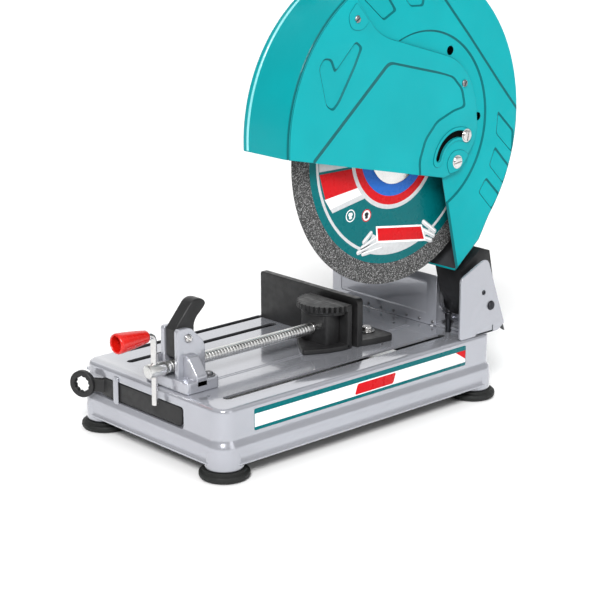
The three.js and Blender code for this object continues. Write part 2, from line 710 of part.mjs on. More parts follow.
function sideCover() {
  const shape = new THREE.Shape();
  shape.absarc(GUARD.y, GUARD.z, COVER.r, radians(119.5), radians(FRONT_EDGE));
  shape.lineTo(145, 321.8);
  shape.lineTo(158, 324);
  shape.quadraticCurveTo(207, 344, 208.5, 388);
  shape.quadraticCurveTo(203, 464, 148, 482);
  shape.lineTo(55.1, 509.5);
  shape.quadraticCurveTo(28, 516, 12.8, 532.2);
  const slot = arcSlot(
    COVER_PIVOT.y, COVER_PIVOT.z, COVER_SLOT.r, COVER_PIVOT.r + GAP, COVER_SLOT.screwAt, COVER_SLOT.endAt,
  );
  return cut(
    plate("x", shape, COVER.x0, COVER.x1, 20),
    plate("x", slot, 120, 140, 6),
    rod("x", COVER_PIVOT.y, COVER_PIVOT.z, COVER_PIVOT.r + GAP, 120, 140, 16),
    ...Object.values(COVER_SCREWS).map(([y, z]) => rod("x", y, z, 2.3, 120, 140, 12)),
  );
}

const COVER_SCREWS = { top: [-14.9, 542.2], rear: [181, 442.9] };
const COVER_CLAMP = [
  COVER_PIVOT.y + COVER_SLOT.r * Math.cos(radians(COVER_SLOT.screwAt)),
  COVER_PIVOT.z + COVER_SLOT.r * Math.sin(radians(COVER_SLOT.screwAt)),
];

function wheelGuard() {
  const { x0, x1, sheet } = GUARD;
  const rim = cut(plate("x", guardOutline(), x0, x1, 30), plate("x", guardInside(), x0 - 1, x1 + 1, 30));
  const farWall = plate("x", guardOutline(), x0, x0 + sheet, 30);
  const opening = new THREE.Shape();
  opening.absarc(GUARD.y, GUARD.z, 196, radians(122), radians(186));
  opening.lineTo(GUARD.y - 190, 300);
  opening.lineTo(112, 290);
  opening.lineTo(116, 330);
  opening.lineTo(136, 400);
  opening.lineTo(136, 452);
  opening.lineTo(100, 480);
  opening.lineTo(55, 494);
  opening.lineTo(8, 512);
  const nearWall = cut(
    plate("x", guardOutline(), x1 - sheet, x1, 30),
    plate("x", opening, x1 - 5, x1 + 5, 12),
  );
  return cut(
    joined(rim, farWall, nearWall),
    onWheel(27, x0 - 5, x0 + 10),
    rod("x", COVER_PIVOT.y, COVER_PIVOT.z, COVER_PIVOT.r + GAP, 120, 140, 16),
    rod("x", ...COVER_CLAMP, COVER_PIVOT.r + GAP, 120, 140, 16),
  );
}

place("wheel_guard", wheelGuard(), teal);
place("side_cover", sideCover(), teal);

const coverScrew = (y, z) =>
  joined(
    rod("x", y, z, 9, COVER.x1 + GAP, 136.8),
    rod("x", y, z, COVER_PIVOT.r, 123, COVER.x1 + 1, 16),
  );
place("cover_pivot_screw", coverScrew(COVER_PIVOT.y, COVER_PIVOT.z), steel);
place("cover_clamp_screw", coverScrew(...COVER_CLAMP), steel);
for (const [where, [y, z]] of Object.entries(COVER_SCREWS))
  place(
    `cover_screw_${where}`,
    joined(rod("x", y, z, 5, COVER.x1 + GAP, 135.4, 20), rod("x", y, z, 2, 130.5, COVER.x1 + 1, 12)),
    steel,
  );

// ---------------------------------------------------------------- handle, switch and cord inlet

const HANDLE_SCREWS = { lower: [104, 474], upper: [112, 636] };

function handleBody(x0, x1) {
  const outline = rounded(
    [[84, 451, 2], [126, 451, 2], [133, 520, 20], [135, 645, 14], [105, 650, 12], [0, 650, 15],
      [-40, 646, 14], [-40, 566, 12], [60, 560, 16], [84, 530, 14]],
    4,
  );
  const fingers = rounded([[-16, 588], [88, 588], [88, 622], [-16, 622]], 12);
  return cut(plate("x", outline, x0, x1, 4), plate("x", fingers, x0 - 1, x1 + 1, 4));
}

function handleHalf(x0, x1) {
  const trigger = box(-28, -2, -6, 23, 600, 641);
  const switchRoom = box(-28, -2, 22, 62, 627, 645);
  const wire = box(-19, -11, 61, 136, 628, 636).add(box(-19, -11, 115, 136, 596, 634));
  const screws = Object.values(HANDLE_SCREWS).map(([y, z]) => rod("x", y, z, 2.3, -29, 3, 8));
  return cut(handleBody(x0, x1), trigger, switchRoom, wire, ...screws);
}

place("handle_left", handleHalf(-32, HANDLE_X - GAP / 2), blackPlastic);
place("handle_right", handleHalf(HANDLE_X + GAP / 2, 2), blackPlastic);
for (const [where, [y, z]] of Object.entries(HANDLE_SCREWS))
  place(
    `handle_screw_${where}`,
    joined(rod("x", y, z, 2, -27, 3, 8), rod("x", y, z, 4.5, 2.3, 4.5, 12)),
    darkSteel,
  );
place("trigger", plate("x", rounded([[-5, 612], [22, 612], [22, 632], [-5, 632]], 5), -27, -3, 6), redPlastic);
place("switch_body", box(-27, -3, 25, 60, 628, 644), blackPlastic);
place(
  "cord_inlet",
  turned("y", HANDLE_X, 604, [
    [4.5, 137], [11, 137], [11, 141], [9, 142], [8, 152], [4.5, 152], [4.5, 137],
  ], 24),
  rubber,
);
place(
  "spindle_lock_button",
  turned("y", 26, WHEEL.z, [[0, 10], [5, 10], [6, 11], [6, 26], [0, 26]], 20),
  redPlastic,
);

export default saw;
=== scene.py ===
import json
import math

import bmesh
import bpy
from mathutils import Matrix, Vector


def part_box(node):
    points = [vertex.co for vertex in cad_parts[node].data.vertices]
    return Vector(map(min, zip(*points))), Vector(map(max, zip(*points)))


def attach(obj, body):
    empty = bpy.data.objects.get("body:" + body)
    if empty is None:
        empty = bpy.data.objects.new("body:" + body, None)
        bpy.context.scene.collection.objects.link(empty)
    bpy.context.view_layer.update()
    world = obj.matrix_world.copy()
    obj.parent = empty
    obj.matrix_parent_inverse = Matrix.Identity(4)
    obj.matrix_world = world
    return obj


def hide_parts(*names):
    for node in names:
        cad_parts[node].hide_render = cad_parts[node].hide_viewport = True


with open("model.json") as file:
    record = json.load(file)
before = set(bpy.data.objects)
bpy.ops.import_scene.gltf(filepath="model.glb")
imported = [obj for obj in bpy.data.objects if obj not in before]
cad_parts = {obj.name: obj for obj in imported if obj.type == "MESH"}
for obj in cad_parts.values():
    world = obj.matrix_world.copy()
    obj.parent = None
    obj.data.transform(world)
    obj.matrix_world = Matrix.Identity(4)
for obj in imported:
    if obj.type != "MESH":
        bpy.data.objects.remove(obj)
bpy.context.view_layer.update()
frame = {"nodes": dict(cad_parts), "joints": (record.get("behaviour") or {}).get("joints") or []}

MM = 0.001

# ---- places taken from the frame
# Millimetres: x and z as in the frame, y from the middle of the base.

base_low, base_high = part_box("base_shell")
MID_Y = (base_low.y + base_high.y) / 2


def local(point):
    return Vector((point.x / MM, (point.y - MID_Y) / MM, point.z / MM))


def span(node):
    low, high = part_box(node)
    return local(low), local(high)


def middle(node):
    low, high = span(node)
    return (low + high) / 2


def joint_place(name):
    found = next(j for j in frame["joints"] if j["name"] == name)
    return local(Vector(found["pos_m"]))


BASE = span("base_shell")[1]
TOP_Z = BASE.z
STANDING = TOP_Z + 0.4  # the underside of what is bolted to the table
SLIDING = TOP_Z + 1.2  # the underside of the vice jaw
SKIRT = (BASE.x, BASE.y)
WALL = (BASE.x - 6, BASE.y - 6)
POST_R = 26
POST = (SKIRT[0] - POST_R, SKIRT[1] - POST_R)
HINGE = joint_place("head_pivot")
WHEEL = middle("abrasive_disc")
WHEEL_LOW, WHEEL_HIGH = span("abrasive_disc")
WHEEL_R = (WHEEL_HIGH.y - WHEEL_LOW.y) / 2
GUARD_LOW, GUARD_HIGH = span("wheel_guard")
GUARD_R = 210
GUARD = (GUARD_HIGH.y - GUARD_R, GUARD_HIGH.z - GUARD_R)
COVER_LOW, COVER_HIGH = span("side_cover")
COVER_PIVOT = joint_place("cover_swing")
MOTOR = joint_place("motor_spin")
SCREW = joint_place("screw_spin")
GRIP = joint_place("grip_spin")
LEVER = joint_place("lever_flip")
FENCE_FOOT = span("fence")[0].z
FENCE_PIVOT = middle("fence_pivot_bolt")
FENCE_CLAMP = middle("fence_clamp_bolt")
CLAMP_REACH = (FENCE_CLAMP.xy - FENCE_PIVOT.xy).length

# ---- outlines, in millimetres


def arc(u, v, r, start, end, step=5):
    count = max(2, math.ceil(abs(end - start) / step))
    angles = [math.radians(start + (end - start) * i / count) for i in range(count + 1)]
    return [(u + r * math.cos(a), v + r * math.sin(a)) for a in angles]


def circle(u, v, r, count=48):
    angles = [2 * math.pi * i / count for i in range(count)]
    return [(u + r * math.cos(a), v + r * math.sin(a)) for a in angles]


def bend(start, control, end, count=8):
    """Points on a quadratic curve after its start."""
    out = []
    for i in range(1, count + 1):
        t = i / count
        a, b, c = (1 - t) ** 2, 2 * t * (1 - t), t * t
        out.append(tuple(a * p + b * q + c * r for p, q, r in zip(start, control, end)))
    return out


def rounded(points, radius, count=6):
    """A polygon with its corners rounded by a common radius, or by a corner's own third number."""
    out = []
    for i, point in enumerate(points):
        here = Vector(point[:2])
        r = point[2] if len(point) > 2 else radius
        if r <= 0:
            out.append(tuple(here))
            continue
        before = Vector(points[i - 1][:2]) - here
        after = Vector(points[(i + 1) % len(points)][:2]) - here
        enter = here + before.normalized() * min(r, before.length / 2.01)
        leave = here + after.normalized() * min(r, after.length / 2.01)
        out.append(tuple(enter))
        out.extend(bend(enter, here, leave, count))
    return out


def oblong(u0, u1, v0, v1, r, count=6):
    return rounded([(u0, v0), (u1, v0), (u1, v1), (u0, v1)], r, count)


def slot_line(u, v0, v1, r):
    """A slot along the outline's second direction, with round ends."""
    return arc(u, v1 - r, r, 0, 180, 15) + arc(u, v0 + r, r, 180, 360, 15)


def arc_slot(u, v, r, half, start, end):
    """A round-ended slot along an arc; half is half of its width."""
    a, b = math.radians(start), math.radians(end)
    tip = (u + r * math.cos(b), v + r * math.sin(b))
    root = (u + r * math.cos(a), v + r * math.sin(a))
    return (
        arc(u, v, r + half, start, end)
        + arc(*tip, half, end, end + 180, 15)[1:]
        + arc(u, v, r - half, end, start)[1:]
        + arc(*root, half, start + 180, start + 360, 15)[1:-1]
    )


# ---- solids

WELD = 1e-6  # metres
TURN = {
    "x": Matrix(((0, 0, 1), (1, 0, 0), (0, 1, 0))),
    "y": Matrix(((1, 0, 0), (0, 0, -1), (0, 1, 0))),
    "z": Matrix(((1, 0, 0), (0, 1, 0), (0, 0, 1))),
}


def settle(mesh, matrix=None):
    """From local millimetres to the frame's metres."""
    if matrix is not None:
        mesh.transform(matrix.to_4x4())
    mesh.transform(Matrix.Translation((0, MID_Y, 0)) @ Matrix.Scale(MM, 4))


def local_face(face):
    """A face's middle, in local millimetres."""
    return (face.center - Vector((0, MID_Y, 0))) / MM


def new_object(data, name="solid"):
    obj = bpy.data.objects.new(name, data)
    bpy.context.scene.collection.objects.link(obj)
    return obj


def plate(axis, loops, low, high, bevel=0.6, steps=2):
    """A solid between two places along an axis. The first loop is its outline and the others are holes;
    they are [y, z] across x, [x, z] across y and [x, y] across z."""
    bevel = min(bevel, (high - low) * 0.49)
    curve = bpy.data.curves.new("outline", "CURVE")
    curve.dimensions = "2D"
    curve.fill_mode = "BOTH"
    curve.extrude = (high - low) / 2 - bevel
    curve.bevel_depth = bevel
    curve.bevel_resolution = steps
    curve.offset = -bevel
    for loop in loops:
        spline = curve.splines.new("POLY")
        spline.points.add(len(loop) - 1)
        for point, (u, v) in zip(spline.points, loop):
            point.co = (u, v, 0, 1)
        spline.use_cyclic_u = True
    obj = bpy.data.objects.new("outline", curve)
    mesh = bpy.data.meshes.new_from_object(obj)
    bpy.data.objects.remove(obj)
    bpy.data.curves.remove(curve)
    centre = (low + high) / 2
    mesh.transform(Matrix.Translation((0, 0, -centre if axis == "y" else centre)))
    settle(mesh, TURN[axis])
    weld(mesh)
    return new_object(mesh)


def weld(mesh):
    bm = bmesh.new()
    bm.from_mesh(mesh)
    bmesh.ops.remove_doubles(bm, verts=bm.verts, dist=WELD)
    bmesh.ops.recalc_face_normals(bm, faces=bm.faces)
    bm.to_mesh(mesh)
    bm.free()


def grid_mesh(rings, closed_ends=True, wrap=True):
    """A surface through rings of equally many points, in local millimetres."""
    count = len(rings[0])
    verts = [p for ring in rings for p in ring]
    faces = []
    for i in range(len(rings) - 1):
        for j in range(count if wrap else count - 1):
            k = (j + 1) % count
            faces.append((i * count + j, i * count + k, (i + 1) * count + k, (i + 1) * count + j))
    if closed_ends:
        faces.append(tuple(reversed(range(count))))
        faces.append(tuple((len(rings) - 1) * count + j for j in range(count)))
    mesh = bpy.data.meshes.new("grid")
    mesh.from_pydata(verts, [], faces)
    settle(mesh)
    weld(mesh)
    return new_object(mesh)


def about(axis, u, v, radius, angle, along):
    """A point at a radius and angle round an axis; u and v are the axis's other coordinates."""
    c, s = radius * math.cos(angle), radius * math.sin(angle)
    if axis == "x":
        return (along, u + c, v + s)
    if axis == "y":
        return (u + s, along, v + c)
    return (u + c, v + s, along)


def turned(axis, u, v, profile, count, closed=False):
    """A turned solid from [radius, place along the axis] points; closed joins its last point to its first."""
    loop = profile + profile[:1] if closed else profile
    rings = [
        [about(axis, u, v, max(r, 1e-4), 2 * math.pi * j / count, along) for j in range(count)]
        for r, along in loop
    ]
    return grid_mesh(rings, closed_ends=not closed)


def soft_profile(radius, low, high, edge, inner):
    """The profile of a disc or ring with rounded outer edges."""
    steps = [math.radians(a) for a in (0, 22.5, 45, 67.5, 90)]
    lower = [(radius - edge + edge * math.sin(a), low + edge - edge * math.cos(a)) for a in steps]
    upper = [(radius - edge + edge * math.cos(a), high - edge + edge * math.sin(a)) for a in steps]
    return [(inner, low)] + lower + upper + [(inner, high)]


def disc(axis, u, v, radius, low, high, edge, inner=0.0, count=64):
    profile = soft_profile(radius, low, high, edge, inner)
    return turned(axis, u, v, profile, count, closed=inner > 0)


def sweep(points, radius, sides):
    """A round bar along points in local millimetres."""
    points = [Vector(p) for p in points]
    rings = []
    side = None
    for i, point in enumerate(points):
        ahead = points[min(i + 1, len(points) - 1)] - points[max(i - 1, 0)]
        ahead.normalize()
        if side is None:
            side = ahead.orthogonal().normalized()
        side = (side - ahead * side.dot(ahead)).normalized()
        other = ahead.cross(side)
        ring = []
        for j in range(sides):
            a = 2 * math.pi * j / sides
            ring.append(point + (side * math.cos(a) + other * math.sin(a)) * radius)
        rings.append(ring)
    return grid_mesh(rings)


def loft(levels):
    """A solid through rounded rectangles at heights: (z, half x, half y, corner radius)."""
    rings = []
    for z, hx, hy, r in levels:
        ring = []
        for sx, sy, start in ((1, 1, 0), (-1, 1, 90), (-1, -1, 180), (1, -1, 270)):
            ring += arc(sx * (hx - r), sy * (hy - r), r, start, start + 90, 9)
        rings.append([(x, y, z) for x, y in ring])
    return grid_mesh(rings)


def box(x0, x1, y0, y1, z0, z1, bevel=0.5, steps=2):
    corner = min(bevel * 1.5, (x1 - x0) / 4, (y1 - y0) / 4)
    return plate("z", [oblong(x0, x1, y0, y1, corner, 3)], z0, z1, bevel, steps)


def placed(obj, axis, degrees, place):
    """Turns a solid made round the local origin, and moves it to its place."""
    origin = Vector((0, MID_Y, 0))
    obj.data.transform(Matrix.Translation(-origin))
    obj.data.transform(Matrix.Rotation(math.radians(degrees), 4, axis))
    obj.data.transform(Matrix.Translation(origin + Vector(place) * MM))
    return obj


def evaluated(obj):
    """The object with its modifiers applied."""
    graph = bpy.context.evaluated_depsgraph_get()
    mesh = bpy.data.meshes.new_from_object(obj.evaluated_get(graph))
    obj.modifiers.clear()
    old = obj.data
    obj.data = mesh
    bpy.data.meshes.remove(old)
    return obj


def drop(obj):
    mesh = obj.data
    bpy.data.objects.remove(obj)
    bpy.data.meshes.remove(mesh)


def boolean(obj, others, operation="DIFFERENCE"):
    """Cuts other solids out of one, or adds them to it, and drops them."""
    for other in others:
        modifier = obj.modifiers.new("cut", "BOOLEAN")
        modifier.operation = operation
        modifier.solver = "EXACT"
        modifier.object = other
    evaluated(obj)
    for other in others:
        drop(other)


def join(*objects):
    """One object out of several; where they run into each other their surfaces just meet."""
    bm = bmesh.new()
    for obj in objects:
        bm.from_mesh(obj.data)
    first = objects[0]
    bm.to_mesh(first.data)
    bm.free()
    for obj in objects[1:]:
        drop(obj)
    return first


def refined(node, bevel):
    """A finer copy of a CAD node: flat faces merged and its hard edges rounded."""
    flat, hard = math.radians(1), math.radians(35)
    mesh = frame["nodes"][node].data.copy()
    mesh.materials.clear()
    bm = bmesh.new()
    bm.from_mesh(mesh)
    bmesh.ops.remove_doubles(bm, verts=bm.verts, dist=WELD)
    bmesh.ops.dissolve_limit(bm, angle_limit=flat, verts=bm.verts, edges=bm.edges)
    bm.to_mesh(mesh)
    bm.free()
    obj = new_object(mesh)
    modifier = obj.modifiers.new("edges", "BEVEL")
    modifier.width = bevel * MM
    modifier.segments = 2
    modifier.limit_method = "ANGLE"
    modifier.angle_limit = hard
    return evaluated(obj)


def piece(obj, name, body, finish, nodes, angle=32):
    """Names a piece, gives it its material, and puts it on its body in place of its CAD nodes."""
    obj.name = name
    obj.data.name = name
    if not obj.data.materials:
        obj.data.materials.append(finish)
    obj.data.shade_smooth()
    obj.data.set_sharp_from_angle(angle=math.radians(angle))
    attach(obj, body)
    if nodes:
        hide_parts(*nodes)


# ---- materials


def shader_node(tree, kind, inputs, **settings):
    """A shader node; each of its inputs is given another node's output or a value."""
    node = tree.nodes.new(f"ShaderNode{kind}")
    for name, value in settings.items():
        setattr(node, name, value)
    for name, value in inputs.items():
        if isinstance(value, bpy.types.NodeSocket):
            tree.links.new(value, node.inputs[name])
        else:
            node.inputs[name].default_value = value
    return node


def shader(name, colour, roughness, metallic=0.0, coat=0.0, gleam=0.5):
    material = bpy.data.materials.new(name)
    material.use_nodes = True
    tree = material.node_tree
    bsdf = tree.nodes["Principled BSDF"]
    bsdf.inputs["Base Color"].default_value = (*colour, 1)
    bsdf.inputs["Roughness"].default_value = roughness
    bsdf.inputs["Metallic"].default_value = metallic
    bsdf.inputs["Coat Weight"].default_value = coat
    bsdf.inputs["Coat Roughness"].default_value = 0.04
    bsdf.inputs["Specular IOR Level"].default_value = gleam
    return material, tree, bsdf


def noise(tree, scale, detail, stretch=(1, 1, 1)):
    place = shader_node(tree, "TexCoord", {}).outputs["Object"]
    mapping = shader_node(tree, "Mapping", {"Vector": place, "Scale": stretch})
    inputs = {"Vector": mapping.outputs["Vector"], "Scale": scale, "Detail": detail}
    return shader_node(tree, "TexNoise", inputs).outputs["Fac"]


def steps(tree, source, stops):
    """A colour ramp, as [place, colour] or [place, grey] stops."""
    node = shader_node(tree, "ValToRGB", {"Fac": source})
    while len(node.color_ramp.elements) < len(stops):
        node.color_ramp.elements.new(0.5)
    for element, (place, value) in zip(node.color_ramp.elements, stops):
        element.position = place
        element.color = (value, value, value, 1) if isinstance(value, float) else (*value, 1)
    return node.outputs["Color"]


def ramp(tree, source, low, high):
    """Two colours or two greys, spread over a noise's values."""
    return steps(tree, source, ((0.35, low), (0.65, high)))


def bump(tree, bsdf, source, depth, strength, chain=None):
    inputs = {"Height": source, "Distance": depth * MM, "Strength": strength}
    if chain is not None:
        inputs["Normal"] = chain
    normal = shader_node(tree, "Bump", inputs).outputs["Normal"]
    tree.links.new(normal, bsdf.inputs["Normal"])
    return normal


def tinted(colour, factor):
    return tuple(min(1.0, c * factor) for c in colour)


def blend(tree, kind, first, second):
    """Two colours added or multiplied."""
    inputs = {"Factor": 1.0, "A": first, "B": second}
    return shader_node(tree, "Mix", inputs, data_type="RGBA", blend_type=kind).outputs["Result"]


def facing_x(tree):
    """How squarely a face looks along X, either way: 1 for the flats of the guard, 0 for its rims."""
    normal = shader_node(tree, "TexCoord", {}).outputs["Normal"]
    along_x = shader_node(tree, "SeparateXYZ", {"Vector": normal}).outputs["X"]
    return shader_node(tree, "Math", {0: along_x}, operation="ABSOLUTE").outputs["Value"]


def mottle(tree, bsdf, source, colour, darkest, lightest):
    """A colour that drifts between two tints of itself."""
    tints = ramp(tree, source, tinted(colour, darkest), tinted(colour, lightest))
    tree.links.new(tints, bsdf.inputs["Base Color"])


def gloss(tree, bsdf, source, roughness, smoothest, roughest):
    """A roughness that drifts between two shares of itself."""
    drift = ramp(tree, source, roughness * smoothest, roughness * roughest)
    tree.links.new(drift, bsdf.inputs["Roughness"])


def enamel(name, colour, roughness, metallic, coat, peel, gleam=0.5, film=None):
    """Sprayed enamel: orange peel in the surface, a little drift in colour and gloss. With film stops, its
    colour is darkened by how far a face turns from X: painted shade on the slopes of the pressings and on the
    rims."""
    material, tree, bsdf = shader(name, colour, roughness, metallic, coat, gleam)
    paint = ramp(tree, noise(tree, 9, 2), tinted(colour, 0.95), tinted(colour, 1.04))
    # Painted shade: the colour is multiplied down on faces turned away from X.
    if film:
        paint = blend(tree, "MULTIPLY", paint, steps(tree, facing_x(tree), film))
    tree.links.new(paint, bsdf.inputs["Base Color"])
    gloss(tree, bsdf, noise(tree, 60, 4), roughness, 0.85, 1.2)
    bump(tree, bsdf, noise(tree, 420, 2), peel, 0.5)
    return material


def casting(name, colour, roughness):
    """Painted sand casting: a fine pitted grain under the paint."""
    grain = 0.12
    material, tree, bsdf = shader(name, colour, roughness, gleam=0.35)
    mottle(tree, bsdf, noise(tree, 30, 4), colour, 0.8, 1.25)
    gloss(tree, bsdf, noise(tree, 120, 4), roughness, 0.8, 1.25)
    first = bump(tree, bsdf, noise(tree, 900, 4), grain, 0.6)
    bump(tree, bsdf, noise(tree, 160, 3), grain * 1.5, 0.4, first)
    return material


def metal(name, colour, roughness, stretch=(1, 1, 1), scratch=0.02):
    """Machined steel: fine streaks along one direction."""
    material, tree, bsdf = shader(name, colour, roughness, 1.0)
    streaks = noise(tree, 250, 5, stretch)
    gloss(tree, bsdf, streaks, roughness, 0.75, 1.4)
    mottle(tree, bsdf, noise(tree, 40, 3), colour, 0.9, 1.06)
    bump(tree, bsdf, streaks, scratch, 0.5)
    return material


def moulded(name, colour, roughness, grain, coat=0.0, gleam=0.5):
    """Moulded plastic or rubber with a fine texture."""
    material, tree, bsdf = shader(name, colour, roughness, 0.0, coat, gleam)
    mottle(tree, bsdf, noise(tree, 25, 3), colour, 0.9, 1.1)
    gloss(tree, bsdf, noise(tree, 200, 3), roughness, 0.85, 1.15)
    bump(tree, bsdf, noise(tree, 1400, 2), grain, 0.5)
    return material


def print_ink(name, colour, roughness=0.3):
    """Printed foil or paint on a label: flat, faintly mottled."""
    material, tree, bsdf = shader(name, colour, roughness, 0.0, 0.0, 0.12)
    mottle(tree, bsdf, noise(tree, 300, 3), colour, 0.96, 1.04)
    gloss(tree, bsdf, noise(tree, 80, 3), roughness, 0.8, 1.2)
    return material


def grit(name):
    """Bonded abrasive: light and dark grains standing out of a resin."""
    material, tree, bsdf = shader(name, (0.1, 0.1, 0.1), 0.95)
    place = shader_node(tree, "TexCoord", {}).outputs["Object"]
    grains = shader_node(tree, "TexVoronoi", {"Vector": place, "Scale": 900})
    split = shader_node(tree, "SeparateColor", {"Color": grains.outputs["Color"]})
    tones = ((0.0, 0.02), (0.35, 0.035), (0.6, 0.075), (0.8, 0.15), (0.96, 0.34))
    tree.links.new(steps(tree, split.outputs["Red"], tones), bsdf.inputs["Base Color"])
    bump(tree, bsdf, grains.outputs["Distance"], 0.35, 0.8)
    return material


TEAL = (0.0, 0.335, 0.366)
SILVER = enamel("silver_enamel", (0.41, 0.42, 0.46), 0.16, 0.5, 0.8, 0.01)
# Painted shade: a near-black colour for inside faces that lie in shade.
SHADE_DARK = enamel("painted_shade_dark", (0.035, 0.036, 0.04), 0.6, 0.0, 0.0, 0.05)
# Painted shade by facing: rims at 0.78-0.84 and pressing slopes at 0.36 of the teal, flats at full colour.
SHADE_BY_FACING = ((0.0, 0.84), (0.35, 0.78), (0.6, 0.36), (0.972, 0.36), (0.99, 1.0))
GUARD_TEAL = enamel("teal_enamel", TEAL, 0.42, 0.0, 0.06, 0.02, 0.11, SHADE_BY_FACING)
# Painted highlight: a lighter teal than the guard's, for the bright line along the bead.
BEAD_TEAL_PAINTED_HIGHLIGHT = enamel("teal_enamel_bead_painted_highlight", (0.22, 0.62, 0.64), 0.25, 0.0, 1.0, 0.01)
COVER_TEAL = enamel("teal_enamel_cover", (0.003, 0.342, 0.374), 0.42, 0.0, 0.06, 0.02, 0.11, SHADE_BY_FACING)
BLACK_IRON = casting("black_casting", (0.016, 0.016, 0.0165), 0.42)
HEAD_BLACK = casting("head_casting", (0.010, 0.010, 0.011), 0.4)
BRIGHT = metal("bright_steel", (0.72, 0.71, 0.70), 0.2)
SCREW_STEEL = metal("screw_steel", (0.74, 0.74, 0.73), 0.32, (1, 0.1, 1))
DARK = metal("dark_steel", (0.20, 0.20, 0.21), 0.38)
SCREW_GREY = metal("screw_grey", (0.30, 0.30, 0.31), 0.34)
BLUED = metal("blued_steel", (0.05, 0.051, 0.058), 0.45)
RUBBER = moulded("black_rubber", (0.012, 0.013, 0.0125), 0.62, 0.05, gleam=0.3)
# Painted shade: a near-black sheet that shows through the cover's slot.
SLOT_SHADE = moulded("slot_painted_shade", (0.003, 0.003, 0.003), 0.95, 0.05, gleam=0.05)
RED = moulded("red_plastic", (0.56, 0.008, 0.004), 0.25, 0.008, 0.25)
BLACK = moulded("black_plastic", (0.02, 0.021, 0.023), 0.5, 0.04)
GRIT = grit("abrasive_wheel")
COPPER = metal("windings", (0.55, 0.24, 0.10), 0.4, (0.1, 1, 1), 0.2)
INK_TEAL = print_ink("ink_teal", (0.0, 0.128, 0.140))
INK_WHITE = print_ink("ink_white", (0.86, 0.87, 0.88))
INK_RED = print_ink("ink_red", (0.56, 0.006, 0.01))
INK_BLUE = print_ink("ink_blue", (0.02, 0.13, 0.5))
INK_SILVER = print_ink("ink_silver", (0.56, 0.57, 0.58), 0.25)
INK_BLACK = print_ink("ink_black", (0.02, 0.02, 0.022))


# ---- base


SHEET = 2.5
SKIRT_FOOT = 20
TABLE_SLOTS = [(106, -211, 181, 6), (-131, -187, 60, 5.5), (-90, -210, 48, 5.5)]  # x, front, rear, half width
TABLE_GROOVES = (38.2, 43.0)
TABLE_HOLES = ((-40, -218, 2.6), (85, -218, 2.6), (78, -60, 2.2), (78, 90, 2.2), (-60, 150, 2.6),
               (20, 172, 2.6))
POCKET_DEPTH_Y = -237.5  # how far back the wrench pocket in the front wall reaches


def shell_outside():
    """The pressing from its rolled foot up the skirt, over the ledge and up the wall to the table, as
    (height, how far inside the skirt's or the wall's size, corner radius)."""
    skirt = [(SKIRT_FOOT, 0.6, 34), (20.6, 0, 34.6), (22.6, 0, 34.6), (23.2, 0.5, 34.1), (23.6, 1.5, 24.5),
             (38, 1.5, 24.5), (42, 1.7, 24.3), (45.5, 2.6, 23.4), (49, 4.7, 21.3)]
    wall = [(52, -0.2, 20.2), (54, 0, 20), (TOP_Z - 5, 0, 20), (TOP_Z - 3, 0.5, 19.5),
            (TOP_Z - 1.4, 1.6, 18.5), (TOP_Z - 0.4, 3.2, 17), (TOP_Z, 5, 15)]
    levels = []
    for (hx, hy), rows in ((SKIRT, skirt), (WALL, wall)):
        levels += [(z, hx - inset, hy - inset, corner) for z, inset, corner in rows]
    return levels


def shell_inside():
    levels = []
    for (hx, hy), corner, heights in ((SKIRT, 23, (10, 44)), (WALL, 17, (50, TOP_Z - SHEET))):
        levels += [(z, hx - SHEET, hy - SHEET, corner) for z in heights]
    return levels


def shade_inside(shell):
    """The inside faces of the shell get a dark painted shade; those of the wrench pocket stay enamelled."""
    shell.data.materials.append(SILVER)
    shell.data.materials.append(SHADE_DARK)
    for face in shell.data.polygons:
        x, y, z = local_face(face)
        n = face.normal
        inward = n.z < -0.5 or n.x * x < -0.3 * abs(x) or n.y * y < -0.3 * abs(y)
        if inward and SKIRT_FOOT + 1 < z < TOP_Z - 0.8 and y > POCKET_DEPTH_Y + 0.5:
            face.material_index = 1


def base_shell():
    shell = loft(shell_outside())
    boolean(shell, [loft(shell_inside())])
    boolean(shell, [box(-136, 72, -243, -234, 48, 83)], "UNION")
    under, over = TOP_Z - 12, TOP_Z + 5
    arc_hole = arc_slot(FENCE_PIVOT.x, FENCE_PIVOT.y, CLAMP_REACH, 4.8, 143, 193.5)
    cutters = [plate("y", [oblong(-150, 68, 51, 79.5, 5)], -247, POCKET_DEPTH_Y, 0.4)]
    cutters += [plate("z", [slot_line(*slot)], under, over, 0.1) for slot in TABLE_SLOTS]
    cutters += [plate("z", [arc_hole], under, over, 0.1)]
    cutters += [plate("z", [slot_line(x, -175, 180, 1.3)], TOP_Z - 0.9, over, 0.8, 1) for x in TABLE_GROOVES]
    cutters += [disc("z", x, y, r, under, over, 0.1, count=20) for x, y, r in TABLE_HOLES]
    boolean(shell, cutters)
    shade_inside(shell)
    outside = [(0, 13.4), (23, 13.4), (24.4, 14), (25, 15.5), (25.2, 30), (25, 34), (24.2, 39), (22, 40)]
    cup = outside + [(22, 18), (0, 18)]
    posts = [turned("z", sx * POST[0], sy * POST[1], cup, 48) for sx in (-1, 1) for sy in (-1, 1)]
    return join(shell, *posts)


piece(base_shell(), "base_shell_pressing", "base", SILVER, ["base_shell"], 40)

FOOT_PROFILE = [(0, 0), (26, 0), (28.5, 0.5), (31, 2), (32, 4.2), (32, 7.2), (31.4, 8.6), (30, 9.4),
                (28.4, 9.8), (27.6, 10.6), (27.4, 12.4), (26.6, 13), (0, 13)]
for node in ("foot_front_right", "foot_front_left", "foot_rear_right", "foot_rear_left"):
    centre = middle(node)
    foot = turned("z", centre.x, centre.y, FOOT_PROFILE, 72)
    piece(foot, f"{node}_rubber", "base", RUBBER, [node])


def wall_patch(outline, colour, name, layer):
    """A printed patch on the base's right wall; its outline is [y, z]."""
    low = WALL[0] + 0.02 + 0.08 * layer
    piece(plate("x", [outline], low, low + 0.25, 0.05, 1), name, "base", colour, ())


